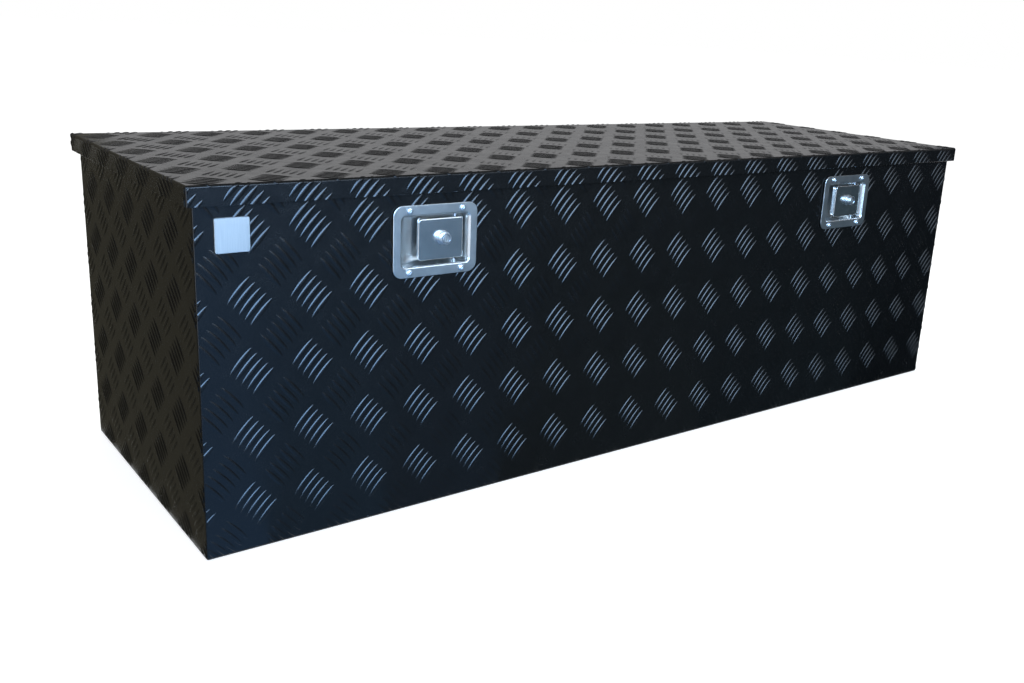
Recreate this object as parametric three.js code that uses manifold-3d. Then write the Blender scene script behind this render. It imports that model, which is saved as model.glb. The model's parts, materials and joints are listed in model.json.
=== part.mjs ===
// Low tread-plate chest with a hinged lid, two flush paddle latches and two gas struts.
// Millimetres. X runs to the right seen from the front, Y to the back and Z up.
// The origin lies on the ground under the middle of the chest, and the front faces -Y.

import * as THREE from 'three';
import { mergeVertices } from 'three/addons/utils/BufferGeometryUtils.js';
import Module from 'manifold-3d';

const wasm = await Module();
wasm.setup();

// Driving sizes of the chest
const lidLength = 1450;
const lidDepth = 488;
const overallHeight = 450;
const lidOverhang = 9;
const skirtHeight = 24;
const sheet = 2;
const foldInner = 1;
const rimBelowTop = 13;
const rimWidth = 14;
const rimHem = 10;

// Clearances shared by many pieces
const seat = 0.3;
const overrun = 2;

// Driving places of what is fitted to the chest
const latchFromEnd = 312;
const latchBelowSkirt = 15;
const hingeBelowTop = 27.5;
const ribBeyondLatch = 127;
const ribCount = 4;

// Sizes worked out from those above
const bodyLength = lidLength - 2 * lidOverhang;
const bodyDepth = lidDepth - 2 * lidOverhang;
const frontFace = -bodyDepth / 2;
const backFace = bodyDepth / 2;
const rimTop = overallHeight - rimBelowTop;
const lidUnderside = overallHeight - sheet;
const skirtBottom = overallHeight - skirtHeight;
const latchPlace = lidLength / 2 - latchFromEnd;

const finishes = {
  powderCoat: { color: 0x14181d, roughness: 0.42, metalness: 0.2 },
  polishedSteel: { color: 0xaab2ba, roughness: 0.2, metalness: 1 },
  zincSteel: { color: 0x8d9196, roughness: 0.45, metalness: 0.9 },
  brushedAluminium: { color: 0xc9ccce, roughness: 0.35, metalness: 1 },
  rubber: { color: 0x161616, roughness: 0.85, metalness: 0 },
  blackPaint: { color: 0x101010, roughness: 0.4, metalness: 0.1 },
  chrome: { color: 0xd4d8dc, roughness: 0.08, metalness: 1 },
  plastic: { color: 0x1a1a1a, roughness: 0.55, metalness: 0 },
  brass: { color: 0xb08d4a, roughness: 0.35, metalness: 1 },
};

// Solids and meshes

function signedVolume(positions, triangles) {
  const a = new THREE.Vector3();
  const b = new THREE.Vector3();
  const c = new THREE.Vector3();
  let total = 0;
  for (let i = 0; i < triangles.length; i += 3) {
    a.fromArray(positions, 3 * triangles[i]);
    b.fromArray(positions, 3 * triangles[i + 1]);
    c.fromArray(positions, 3 * triangles[i + 2]);
    total += a.dot(b.cross(c)) / 6;
  }
  return total;
}

// A closed three.js geometry becomes a solid whose faces point out.
function solidFrom(geometry) {
  geometry.deleteAttribute('normal');
  geometry.deleteAttribute('uv');
  const merged = mergeVertices(geometry);
  const positions = new Float32Array(merged.attributes.position.array);
  const triangles = [];
  const index = merged.index.array;
  for (let i = 0; i < index.length; i += 3) {
    const corners = [index[i], index[i + 1], index[i + 2]];
    if (new Set(corners).size === 3) triangles.push(...corners);
  }
  if (signedVolume(positions, triangles) < 0) triangles.reverse();
  return new wasm.Manifold(new wasm.Mesh({
    numProp: 3,
    vertProperties: positions,
    triVerts: new Uint32Array(triangles),
  }));
}

function meshFrom(name, solid, finish) {
  const result = solid.getMesh();
  const geometry = new THREE.BufferGeometry();
  geometry.setAttribute('position', new THREE.BufferAttribute(result.vertProperties, 3));
  geometry.setIndex(new THREE.BufferAttribute(result.triVerts, 1));
  const mesh = new THREE.Mesh(geometry, new THREE.MeshStandardMaterial({ ...finish, flatShading: true }));
  mesh.name = name;
  return mesh;
}

function joined(solids) {
  return solids.reduce((whole, next) => whole.add(next));
}

function swept(shape, depth, curveSegments) {
  return new THREE.ExtrudeGeometry(shape, { depth, bevelEnabled: false, curveSegments });
}

// An outline drawn in (y, z) swept from one x to another.
function alongX(shape, start, end, curveSegments = 2) {
  const geometry = swept(shape, end - start, curveSegments);
  const turn = new THREE.Matrix4().makeBasis(
    new THREE.Vector3(0, 1, 0), new THREE.Vector3(0, 0, 1), new THREE.Vector3(1, 0, 0));
  geometry.applyMatrix4(turn);
  geometry.translate(start, 0, 0);
  return solidFrom(geometry);
}

// An outline drawn in (x, z) swept from one y to another.
function alongY(shape, start, end, curveSegments = 2) {
  const geometry = swept(shape, end - start, curveSegments);
  const turn = new THREE.Matrix4().makeBasis(
    new THREE.Vector3(1, 0, 0), new THREE.Vector3(0, 0, 1), new THREE.Vector3(0, -1, 0));
  geometry.applyMatrix4(turn);
  geometry.translate(0, end, 0);
  return solidFrom(geometry);
}

// An outline drawn in (x, y) swept from one z to another.
function alongZ(shape, start, end, curveSegments = 2) {
  const geometry = swept(shape, end - start, curveSegments);
  geometry.translate(0, 0, start);
  return solidFrom(geometry);
}

function box([x0, x1], [y0, y1], [z0, z1]) {
  const geometry = new THREE.BoxGeometry(x1 - x0, y1 - y0, z1 - z0);
  geometry.translate((x0 + x1) / 2, (y0 + y1) / 2, (z0 + z1) / 2);
  return solidFrom(geometry);
}

// A turned piece: its profile as [radius, distance along the axis], from axis to axis.
function turned(axis, profile, sides) {
  const points = profile.map(([radius, along]) => new THREE.Vector2(radius, along));
  const geometry = new THREE.LatheGeometry(points, sides);
  if (axis === 'x') geometry.rotateZ(-Math.PI / 2);
  if (axis === 'z') geometry.rotateX(Math.PI / 2);
  return solidFrom(geometry);
}

function cylinder(axis, radius, start, end, sides) {
  return turned(axis, [[0, start], [radius, start], [radius, end], [0, end]], sides);
}

function roundedRectangle(width, height, radius) {
  const right = width / 2;
  const top = height / 2;
  const quarter = Math.PI / 2;
  const shape = new THREE.Shape();
  shape.moveTo(right, top - radius);
  shape.absarc(right - radius, top - radius, radius, 0, quarter, false);
  shape.absarc(radius - right, top - radius, radius, quarter, 2 * quarter, false);
  shape.absarc(radius - right, radius - top, radius, 2 * quarter, 3 * quarter, false);
  shape.absarc(right - radius, radius - top, radius, 3 * quarter, 4 * quarter, false);
  return shape;
}

// A bent sheet's outline. The corners follow its outer face, every bend turns to the left,
// and the sheet's thickness lies on the left of the run.
function foldedOutline(corners, thickness, innerRadius) {
  const outerRadius = innerRadius + thickness;
  const bendSteps = 3;
  const points = corners.map(([x, y]) => new THREE.Vector2(x, y));
  const leftOf = (from, to) => {
    const direction = to.clone().sub(from).normalize();
    return new THREE.Vector2(-direction.y, direction.x);
  };
  const normals = points.slice(1).map((point, i) => leftOf(points[i], point));
  const outer = [points[0]];
  const inner = [points[0].clone().addScaledVector(normals[0], thickness)];
  for (let i = 1; i < points.length - 1; i += 1) {
    const before = normals[i - 1];
    const after = normals[i];
    const reach = outerRadius / (1 + before.dot(after));
    const centre = points[i].clone().addScaledVector(before, reach).addScaledVector(after, reach);
    const turnBy = Math.acos(before.dot(after));
    for (let step = 0; step <= bendSteps; step += 1) {
      const spoke = before.clone().negate().rotateAround(new THREE.Vector2(), turnBy * step / bendSteps);
      outer.push(centre.clone().addScaledVector(spoke, outerRadius));
      inner.push(centre.clone().addScaledVector(spoke, innerRadius));
    }
  }
  const last = points.length - 1;
  outer.push(points[last]);
  inner.push(points[last].clone().addScaledVector(normals[last - 1], thickness));
  return new THREE.Shape([...outer, ...inner.reverse()]);
}

const chest = new THREE.Group();

// Body

const latchPlaces = { left: -latchPlace, right: latchPlace };

// Each latch has a dish in the middle of a flange, which is 122 by 92 overall.
const latch = {
  dishWidth: 97,
  dishHeight: 64,
  dishDepth: 19,
  dishWall: 1.2,
  sideFlange: 12.5,
  upperFlange: 14,
  plateCorner: 13,
  plateThick: 1.6,
  gasketThick: 1,
  gasketInset: 1,
  rivetFromEdge: 6.65,
  rivetFromSide: 10.25,
  cutoutClearance: 1,
};
latch.plateWidth = latch.dishWidth + 2 * latch.sideFlange;
latch.plateHeight = latch.dishHeight + 2 * latch.upperFlange;
latch.plateBack = -(2 * seat + latch.gasketThick);
latch.plateFront = latch.plateBack - latch.plateThick;

const latchHeight = skirtBottom - latchBelowSkirt - latch.plateHeight / 2;

const rivet = {
  shankRadius: 2.4,
  headRadius: 4.5,
  headHeight: 2.2,
  tailRadius: 3.6,
  tailLength: 2.5,
};
rivet.holeRadius = rivet.shankRadius + seat;

const latchRivetPlaces = [];
for (const across of [-1, 1]) {
  for (const up of [-1, 1]) {
    latchRivetPlaces.push([
      across * (latch.dishWidth / 2 - latch.rivetFromSide),
      up * (latch.plateHeight / 2 - latch.rivetFromEdge),
    ]);
  }
}

function rivetHole(x, y0, y1, z) {
  const holeSides = 8;
  return cylinder('y', rivet.holeRadius, y0, y1, holeSides).translate([x, 0, z]);
}

const hinge = {
  pinRadius: 1.3,
  pinClearance: 0.4,
  leafThick: 1.5,
  knuckleLength: 50,
  bodyLeafDrop: 30,
  leafBelowLid: 2.5,
  endInset: 16,
  rivetSpacing: 200,
  rivetBelowPin: 17.5,
  rivetBelowLid: 11,
};
hinge.boreRadius = hinge.pinRadius + hinge.pinClearance;
hinge.pinHeight = overallHeight - hingeBelowTop;
hinge.bodyLeafFace = backFace + seat;
hinge.lidLeafFace = lidDepth / 2 - sheet - seat;
hinge.pinDepth = (hinge.bodyLeafFace + hinge.lidLeafFace) / 2;
hinge.knuckleRadius = (hinge.lidLeafFace - hinge.bodyLeafFace) / 2;
hinge.knuckleCount = 2 * Math.floor((bodyLength - 2 * hinge.endInset) / (2 * hinge.knuckleLength));
hinge.length = hinge.knuckleCount * hinge.knuckleLength;

const hingeRivetCount = Math.floor(hinge.length / hinge.rivetSpacing);
const hingeRivetPlaces = [];
for (let i = 0; i < hingeRivetCount; i += 1) {
  hingeRivetPlaces.push((i - (hingeRivetCount - 1) / 2) * hinge.rivetSpacing);
}
const bodyRivetHeight = hinge.pinHeight - hinge.rivetBelowPin;
const lidRivetHeight = lidUnderside - hinge.rivetBelowLid;

function makeBodyWrap() {
  const rimInner = bodyDepth / 2 - rimWidth;
  const outline = foldedOutline([
    [-rimInner, rimTop - rimHem],
    [-rimInner, rimTop],
    [frontFace, rimTop],
    [frontFace, 0],
    [backFace, 0],
    [backFace, rimTop],
    [rimInner, rimTop],
    [rimInner, rimTop - rimHem],
  ], sheet, foldInner);
  let wrap = alongX(outline, -bodyLength / 2, bodyLength / 2);
  const cutHalfWidth = latch.dishWidth / 2 + latch.dishWall + latch.cutoutClearance;
  const cutHalfHeight = latch.dishHeight / 2 + latch.dishWall + latch.cutoutClearance;
  const holes = [];
  for (const place of Object.values(latchPlaces)) {
    holes.push(box(
      [place - cutHalfWidth, place + cutHalfWidth],
      [frontFace - overrun, frontFace + sheet + overrun],
      [latchHeight - cutHalfHeight, latchHeight + cutHalfHeight]));
    for (const [across, up] of latchRivetPlaces) {
      const holeEnd = frontFace + sheet + overrun;
      holes.push(rivetHole(place + across, frontFace - overrun, holeEnd, latchHeight + up));
    }
  }
  for (const place of hingeRivetPlaces) {
    holes.push(rivetHole(place, backFace - sheet - overrun, backFace + overrun, bodyRivetHeight));
  }
  wrap = wrap.subtract(joined(holes));
  return meshFrom('body_wrap', wrap, finishes.powderCoat);
}

// Each end panel fits between the wrap's walls, with its own rim between the wrap's rims.
function makeEndPanel(name, side) {
  const outerX = side * bodyLength / 2;
  const rimX = side * (bodyLength / 2 - rimWidth);
  const run = [
    [rimX, rimTop - rimHem],
    [rimX, rimTop],
    [outerX, rimTop],
    [outerX, sheet + seat],
  ];
  if (side > 0) run.reverse();
  const folded = alongY(foldedOutline(run, sheet, foldInner), -bodyDepth / 2, bodyDepth / 2);
  const wallReach = bodyDepth / 2 - sheet - seat;
  const rimReach = bodyDepth / 2 - rimWidth - seat;
  const notchHeight = rimTop - rimHem - seat;
  const bottom = sheet + seat;
  const quarter = Math.PI / 2;
  const outline = new THREE.Shape();
  outline.moveTo(-rimReach, notchHeight);
  outline.lineTo(-wallReach, notchHeight);
  outline.absarc(foldInner - wallReach, bottom + foldInner, foldInner, 2 * quarter, 3 * quarter, false);
  outline.absarc(wallReach - foldInner, bottom + foldInner, foldInner, 3 * quarter, 4 * quarter, false);
  outline.lineTo(wallReach, notchHeight);
  outline.lineTo(rimReach, notchHeight);
  outline.lineTo(rimReach, rimTop + overrun);
  outline.lineTo(-rimReach, rimTop + overrun);
  const window = alongX(outline, -bodyLength, bodyLength);
  return meshFrom(name, folded.intersect(window), finishes.powderCoat);
}

const seal = { width: 10, inset: 2, corner: 16 };

function makeRimSeal() {
  const outerLength = bodyLength - 2 * seal.inset;
  const outerDepth = bodyDepth - 2 * seal.inset;
  const innerLength = outerLength - 2 * seal.width;
  const innerDepth = outerDepth - 2 * seal.width;
  const ring = roundedRectangle(outerLength, outerDepth, seal.corner);
  ring.holes.push(roundedRectangle(innerLength, innerDepth, seal.corner - seal.width));
  const solid = alongZ(ring, rimTop + seat, lidUnderside - seat);
  return meshFrom('rim_seal', solid, finishes.rubber);
}

const badge = { side: 40, thick: 1.5, corner: 2.5, fromEnd: 23, belowSkirt: 14.5 };

function makeBadge() {
  const centreX = badge.fromEnd + badge.side / 2 - bodyLength / 2;
  const centreZ = skirtBottom - badge.belowSkirt - badge.side / 2;
  const solid = alongY(roundedRectangle(badge.side, badge.side, badge.corner),
    frontFace - seat - badge.thick, frontFace - seat);
  return meshFrom('badge_plate', solid.translate([centreX, 0, centreZ]), finishes.brushedAluminium);
}

// Lid

// A cover outline with its two top corners rounded.
function coverOutline(halfWidth, top, bottom, radius) {
  const quarter = Math.PI / 2;
  const shape = new THREE.Shape();
  shape.moveTo(-halfWidth, bottom);
  shape.lineTo(halfWidth, bottom);
  shape.absarc(halfWidth - radius, top - radius, radius, 0, quarter, false);
  shape.absarc(radius - halfWidth, top - radius, radius, quarter, 2 * quarter, false);
  return shape;
}

function coverBlock(length, depth, top, bottom, radius) {
  const lengthwise = alongX(coverOutline(depth / 2, top, bottom, radius), -length / 2, length / 2);
  const crosswise = alongY(coverOutline(length / 2, top, bottom, radius), -depth / 2, depth / 2);
  return lengthwise.intersect(crosswise);
}

function makeLidPanel() {
  const outside = coverBlock(lidLength, lidDepth, overallHeight, skirtBottom, foldInner + sheet);
  const inside = coverBlock(
    lidLength - 2 * sheet, lidDepth - 2 * sheet, lidUnderside, skirtBottom - overrun, foldInner);
  const holes = hingeRivetPlaces.map(
    (place) => rivetHole(place, lidDepth / 2 - sheet - overrun, lidDepth / 2 + overrun, lidRivetHeight));
  return meshFrom('lid_panel', outside.subtract(inside).subtract(joined(holes)), finishes.powderCoat);
}

const rib = { crown: 26, flange: 12, height: 18, thick: 1.5, frontClear: 32, backClear: 36 };

// A hat-shaped channel: two flanges against the lid and a crown below it.
function makeRib(name, place) {
  const top = lidUnderside - seat;
  const crownHalf = rib.crown / 2;
  const flangeHalf = crownHalf + rib.flange;
  const outline = new THREE.Shape();
  outline.moveTo(place - flangeHalf, top);
  outline.lineTo(place - flangeHalf, top - rib.thick);
  outline.lineTo(place - crownHalf, top - rib.thick);
  outline.lineTo(place - crownHalf, top - rib.height);
  outline.lineTo(place + crownHalf, top - rib.height);
  outline.lineTo(place + crownHalf, top - rib.thick);
  outline.lineTo(place + flangeHalf, top - rib.thick);
  outline.lineTo(place + flangeHalf, top);
  outline.lineTo(place + crownHalf - rib.thick, top);
  outline.lineTo(place + crownHalf - rib.thick, top - rib.height + rib.thick);
  outline.lineTo(place - crownHalf + rib.thick, top - rib.height + rib.thick);
  outline.lineTo(place - crownHalf + rib.thick, top);
  const solid = alongY(outline, frontFace + rib.frontClear, backFace - rib.backClear);
  return meshFrom(name, solid, finishes.powderCoat);
}

// A domed rivet along Y: head from headFace towards -Y or +Y, shank and tail the other way.
function domedRivet(headFace, grip, headSide) {
  const rivetSides = 8;
  const domeShares = [[0, 1], [0.55, 0.82], [0.9, 0.4], [1, 0]];
  const dome = domeShares.map(([out, up]) => [rivet.headRadius * out, -rivet.headHeight * up]);
  const body = [
    [rivet.shankRadius, 0],
    [rivet.shankRadius, grip],
    [rivet.tailRadius, grip],
    [rivet.tailRadius, grip + rivet.tailLength],
    [0, grip + rivet.tailLength],
  ];
  const solid = turned('y', [...dome, ...body], rivetSides);
  const facing = headSide < 0 ? solid : solid.rotate([0, 0, 180]);
  return facing.translate([0, headFace, 0]);
}

// Full-length hinge along the back

function knuckle(start, end) {
  const sides = 8;
  const outer = cylinder('x', hinge.knuckleRadius, start, end, sides);
  return outer.translate([0, hinge.pinDepth, hinge.pinHeight]);
}

// A leaf with its share of the knuckles. Its row of rivets is joined to it.
function makeHingeLeaf(name, firstKnuckle, leafY, plateZ, tabZ, rivets) {
  const pieces = [box([-hinge.length / 2, hinge.length / 2], leafY, plateZ), ...rivets];
  for (let i = firstKnuckle; i < hinge.knuckleCount; i += 2) {
    const start = -hinge.length / 2 + i * hinge.knuckleLength + seat / 2;
    const end = start + hinge.knuckleLength - seat;
    pieces.push(knuckle(start, end));
    pieces.push(box([start, end], leafY, tabZ));
  }
  const boreSides = 8;
  const bore = cylinder('x', hinge.boreRadius, -hinge.length, hinge.length, boreSides)
    .translate([0, hinge.pinDepth, hinge.pinHeight]);
  return meshFrom(name, joined(pieces).subtract(bore), finishes.powderCoat);
}

function makeBodyLeaf() {
  const leafY = [hinge.bodyLeafFace, hinge.bodyLeafFace + hinge.leafThick];
  const plateTop = hinge.pinHeight - hinge.knuckleRadius - seat;
  const plateZ = [hinge.pinHeight - hinge.bodyLeafDrop, plateTop];
  const tabZ = [plateTop - hinge.leafThick, hinge.pinHeight];
  const grip = leafY[1] - (backFace - sheet) + seat;
  const rivets = hingeRivetPlaces.map(
    (place) => domedRivet(leafY[1], grip, 1).translate([place, 0, bodyRivetHeight]));
  return makeHingeLeaf('hinge_body_leaf', 0, leafY, plateZ, tabZ, rivets);
}

// The lid's hinge rivets lie flush with the outside of the skirt.
function makeLidLeaf() {
  const leafY = [hinge.lidLeafFace - hinge.leafThick, hinge.lidLeafFace];
  const plateBottom = hinge.pinHeight + hinge.knuckleRadius + seat;
  const plateZ = [plateBottom, lidUnderside - hinge.leafBelowLid];
  const tabZ = [hinge.pinHeight, plateBottom + hinge.leafThick];
  const sides = 8;
  const outside = lidDepth / 2;
  const tailEnd = leafY[0] - rivet.tailLength / 2;
  const profile = [
    [0, tailEnd],
    [rivet.tailRadius, tailEnd],
    [rivet.tailRadius, leafY[0]],
    [rivet.shankRadius, leafY[0]],
    [rivet.shankRadius, outside],
    [0, outside],
  ];
  const rivets = hingeRivetPlaces.map(
    (place) => turned('y', profile, sides).translate([place, 0, lidRivetHeight]));
  return makeHingeLeaf('hinge_lid_leaf', 1, leafY, plateZ, tabZ, rivets);
}

function makeHingePin() {
  const sides = 8;
  const pin = cylinder('x', hinge.pinRadius, -hinge.length / 2, hinge.length / 2, sides);
  return meshFrom('hinge_pin', pin.translate([0, hinge.pinDepth, hinge.pinHeight]), finishes.zincSteel);
}

// Paddle latches. Each is drawn about the middle of its flange on the front face,
// with x to the right, y into the chest and z up.

const paddle = {
  width: 66.5,
  fromSide: 6,
  fromTop: 4.5,
  face: 1,
  wall: 1.8,
  depth: 10,
  leftCorner: 6,
  rightCorner: 4,
  pinFromRight: 10,
  pinY: 6.5,
  pinRadius: 1.8,
  pinClearance: 0.3,
  pinOverhang: 0.8,
  armHalf: 2.5,
  armThick: 3,
  armShort: 0.5,
  hubRadius: 4.2,
  hubHeight: 6,
  swing: 30,
};
paddle.right = latch.dishWidth / 2 - paddle.fromSide;
paddle.left = paddle.right - paddle.width;
paddle.height = latch.dishHeight - 2 * paddle.fromTop;
paddle.pinX = paddle.right - paddle.pinFromRight;

const dishOuterHalf = latch.dishWidth / 2 + latch.dishWall;
const dishOuterHeight = latch.dishHeight / 2 + latch.dishWall;
const dishBack = latch.dishDepth + latch.dishWall;

const bolt = {
  railDepth: 3.7,
  thick: 9,
  height: 17,
  tailBeforePin: 28.5,
  noseBeyondPin: 39.6,
  bevel: 9,
  travel: 11.8,
  slotHalf: 4.6,
  slotClearance: 0.8,
  guideWall: 1.5,
  tailClearance: 2.2,
  noseBeyondGuide: 14.1,
  railHeight: 2.5,
};
bolt.near = dishBack + bolt.railDepth + 2 * seat;
bolt.far = bolt.near + bolt.thick;
bolt.tail = paddle.pinX - bolt.tailBeforePin;
bolt.nose = paddle.pinX + bolt.noseBeyondPin;
bolt.guideStart = bolt.tail - bolt.travel - bolt.tailClearance;
bolt.guideEnd = bolt.nose - bolt.noseBeyondGuide;
paddle.armReach = bolt.far - paddle.armShort;

const lock = {
  fromPaddleEdge: 36,
  z: 1,
  front: -8.5,
  barrelRadius: 8,
  ringRadius: 9.5,
  ringThick: 2,
  rearRadius: 7,
  rearClearance: 6,
  plugRadius: 4.9,
  plugClearance: 0.4,
  nutRadius: 10,
  nutThick: 4,
  camThick: 2,
  camWidth: 9,
  camReach: 15,
  stubRadius: 3,
  stubEnd: 0.6,
  keywayWidth: 1.8,
  keywayHeight: 6.5,
  keywayDepth: 3,
};
lock.x = paddle.left + lock.fromPaddleEdge;
lock.rearEnd = latch.dishDepth - lock.rearClearance;
lock.boreRadius = lock.plugRadius + lock.plugClearance;

const coil = { wire: 1, turns: 5.5, rise: 1.6, start: 6, legClearance: 1.5 };
coil.radius = paddle.pinY - paddle.face - paddle.wall - seat - coil.wire / 2;
coil.legLength = paddle.pinX - lock.x - lock.nutRadius - coil.legClearance;

// The dish's section: a swept scoop for the fingers on the left and a tight corner on the right.
const scoop = { sweep: 2.5, corner: 6 };

function dishOutline(halfWidth, floor, front, corner) {
  const shape = new THREE.Shape();
  shape.moveTo(-halfWidth, front);
  shape.lineTo(-halfWidth, latch.plateBack);
  shape.quadraticCurveTo(scoop.sweep - halfWidth, floor, paddle.left, floor);
  shape.lineTo(halfWidth - corner, floor);
  shape.absarc(halfWidth - corner, floor - corner, corner, Math.PI / 2, 0, true);
  shape.lineTo(halfWidth, front);
  return shape;
}

function makeTray(side) {
  const segments = 4;
  const plate = alongY(roundedRectangle(latch.plateWidth, latch.plateHeight, latch.plateCorner),
    latch.plateFront, latch.plateBack);
  const shell = alongZ(dishOutline(dishOuterHalf, dishBack, latch.plateFront, scoop.corner + latch.dishWall),
    -dishOuterHeight, dishOuterHeight, segments);
  const hollow = alongZ(
    dishOutline(latch.dishWidth / 2, latch.dishDepth, latch.plateFront - overrun, scoop.corner),
    -latch.dishHeight / 2, latch.dishHeight / 2, segments);
  const slotClearance = 0.7;
  const armShift = (dishBack - paddle.pinY) * Math.tan(THREE.MathUtils.degToRad(paddle.swing));
  const slotRight = paddle.pinX + paddle.armHalf + slotClearance;
  const slotLeft = paddle.pinX - armShift - paddle.armHalf - 2 * slotClearance;
  const slotHalf = paddle.armThick / 2 + slotClearance;
  const slotY = [latch.dishDepth - overrun, dishBack + overrun];
  const slot = box([slotLeft, slotRight], slotY, [-slotHalf, slotHalf]);
  const sides = 10;
  const pinHoleRadius = paddle.pinRadius + paddle.pinClearance;
  const pinHole = cylinder('z', pinHoleRadius, -latch.dishHeight, latch.dishHeight, sides)
    .translate([paddle.pinX, paddle.pinY, 0]);
  const holes = latchRivetPlaces.map(
    ([across, up]) => rivetHole(across, latch.plateFront - overrun, latch.plateBack + overrun, up));
  const solid = plate.add(shell).subtract(hollow).subtract(joined([slot, pinHole, ...holes]));
  return meshFrom(`${side}_latch_tray`, solid, finishes.polishedSteel);
}

function makeGasket(side) {
  const inset = 2 * latch.gasketInset;
  const ring = roundedRectangle(latch.plateWidth - inset, latch.plateHeight - inset, latch.plateCorner);
  const sheetSolid = alongY(ring, latch.plateBack + seat, -seat);
  const halfWidth = dishOuterHalf + 2 * seat;
  const halfHeight = dishOuterHeight + 2 * seat;
  const openingY = [latch.plateBack - overrun, overrun];
  const opening = box([-halfWidth, halfWidth], openingY, [-halfHeight, halfHeight]);
  const holes = latchRivetPlaces.map(
    ([across, up]) => rivetHole(across, latch.plateBack - overrun, overrun, up));
  return meshFrom(`${side}_latch_gasket`, sheetSolid.subtract(joined([opening, ...holes])), finishes.rubber);
}

function makeTrayRivets(side) {
  const headFace = latch.plateFront - seat;
  const grip = sheet + seat - headFace;
  return latchRivetPlaces.map(([across, up], i) => meshFrom(
    `${side}_latch_rivet_${i + 1}`,
    domedRivet(headFace, grip, -1).translate([across, 0, up]),
    finishes.polishedSteel));
}

function paddleOutline(inset, back) {
  const left = paddle.left + inset;
  const right = paddle.right - inset;
  const face = paddle.face + inset;
  const leftCorner = paddle.leftCorner - inset;
  const rightCorner = paddle.rightCorner - inset;
  const quarter = Math.PI / 2;
  const shape = new THREE.Shape();
  shape.moveTo(right, back);
  shape.lineTo(left, back);
  shape.absarc(left + leftCorner, face + leftCorner, leftCorner, 2 * quarter, 3 * quarter, false);
  shape.absarc(right - rightCorner, face + rightCorner, rightCorner, 3 * quarter, 4 * quarter, false);
  return shape;
}

function makePaddle(side) {
  const back = paddle.face + paddle.depth;
  const half = paddle.height / 2;
  const shell = alongZ(paddleOutline(0, back), -half, half);
  const hollow = alongZ(paddleOutline(paddle.wall, back + overrun), paddle.wall - half, half - paddle.wall);
  const arm = box([paddle.pinX - paddle.armHalf, paddle.pinX + paddle.armHalf],
    [paddle.face + paddle.wall / 2, paddle.armReach], [-paddle.armThick / 2, paddle.armThick / 2]);
  const sides = 10;
  const hub = cylinder('z', paddle.hubRadius, -paddle.hubHeight / 2, paddle.hubHeight / 2, sides)
    .translate([paddle.pinX, paddle.pinY, 0]);
  const pinHole = cylinder('z', paddle.pinRadius + paddle.pinClearance, -paddle.height, paddle.height, sides)
    .translate([paddle.pinX, paddle.pinY, 0]);
  const lockSides = 16;
  const wallBack = paddle.face + paddle.wall;
  const lockHole = cylinder('y', lock.rearRadius + seat, paddle.face - overrun, wallBack + overrun, lockSides)
    .translate([lock.x, 0, lock.z]);
  const solid = shell.subtract(hollow).add(arm).add(hub).subtract(pinHole).subtract(lockHole);
  return meshFrom(`${side}_paddle`, solid, finishes.polishedSteel);
}

function makePaddlePin(side) {
  const sides = 10;
  const reach = dishOuterHeight + paddle.pinOverhang;
  const pin = cylinder('z', paddle.pinRadius, -reach, reach, sides);
  return meshFrom(`${side}_paddle_pin`, pin.translate([paddle.pinX, paddle.pinY, 0]), finishes.zincSteel);
}

// The wire starts on the paddle's side of the pin.
class Helix extends THREE.Curve {
  getPoint(t, target = new THREE.Vector3()) {
    const angle = 2 * Math.PI * coil.turns * t - Math.PI / 2;
    const along = coil.rise * coil.turns * t;
    return target.set(coil.radius * Math.cos(angle), coil.radius * Math.sin(angle), along);
  }
}

// The return spring is wound round the paddle's pin, and both of its legs run towards the scoop.
function makePaddleSpring(side) {
  const helix = new Helix();
  const start = helix.getPoint(0);
  const end = helix.getPoint(1);
  const leg = new THREE.Vector3(coil.legLength, 0, 0);
  const route = new THREE.CurvePath();
  route.add(new THREE.LineCurve3(start.clone().sub(leg), start));
  route.add(helix);
  route.add(new THREE.LineCurve3(end, end.clone().sub(leg)));
  const wire = new THREE.Shape();
  wire.absarc(0, 0, coil.wire / 2, 0, 2 * Math.PI, false);
  const stepsPerTurn = 8;
  const legSteps = 8;
  const steps = Math.round(coil.turns * stepsPerTurn) + legSteps;
  const curveSegments = 3;
  const geometry = new THREE.ExtrudeGeometry(
    wire, { steps, extrudePath: route, curveSegments, bevelEnabled: false });
  geometry.translate(paddle.pinX, paddle.pinY, coil.start);
  return meshFrom(`${side}_paddle_spring`, solidFrom(geometry), finishes.zincSteel);
}

function makeBolt(side) {
  const half = bolt.height / 2;
  const outline = new THREE.Shape();
  outline.moveTo(bolt.tail, -half);
  outline.lineTo(bolt.nose, -half);
  outline.lineTo(bolt.nose, half - bolt.bevel);
  outline.lineTo(bolt.nose - bolt.bevel, half);
  outline.lineTo(bolt.tail, half);
  const slotHeight = paddle.armThick / 2 + bolt.slotClearance;
  const slot = box([paddle.pinX - bolt.slotHalf, paddle.pinX + bolt.slotHalf],
    [bolt.near - overrun, bolt.far + overrun], [-slotHeight, slotHeight]);
  return meshFrom(`${side}_bolt`, alongY(outline, bolt.near, bolt.far).subtract(slot), finishes.zincSteel);
}

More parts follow.
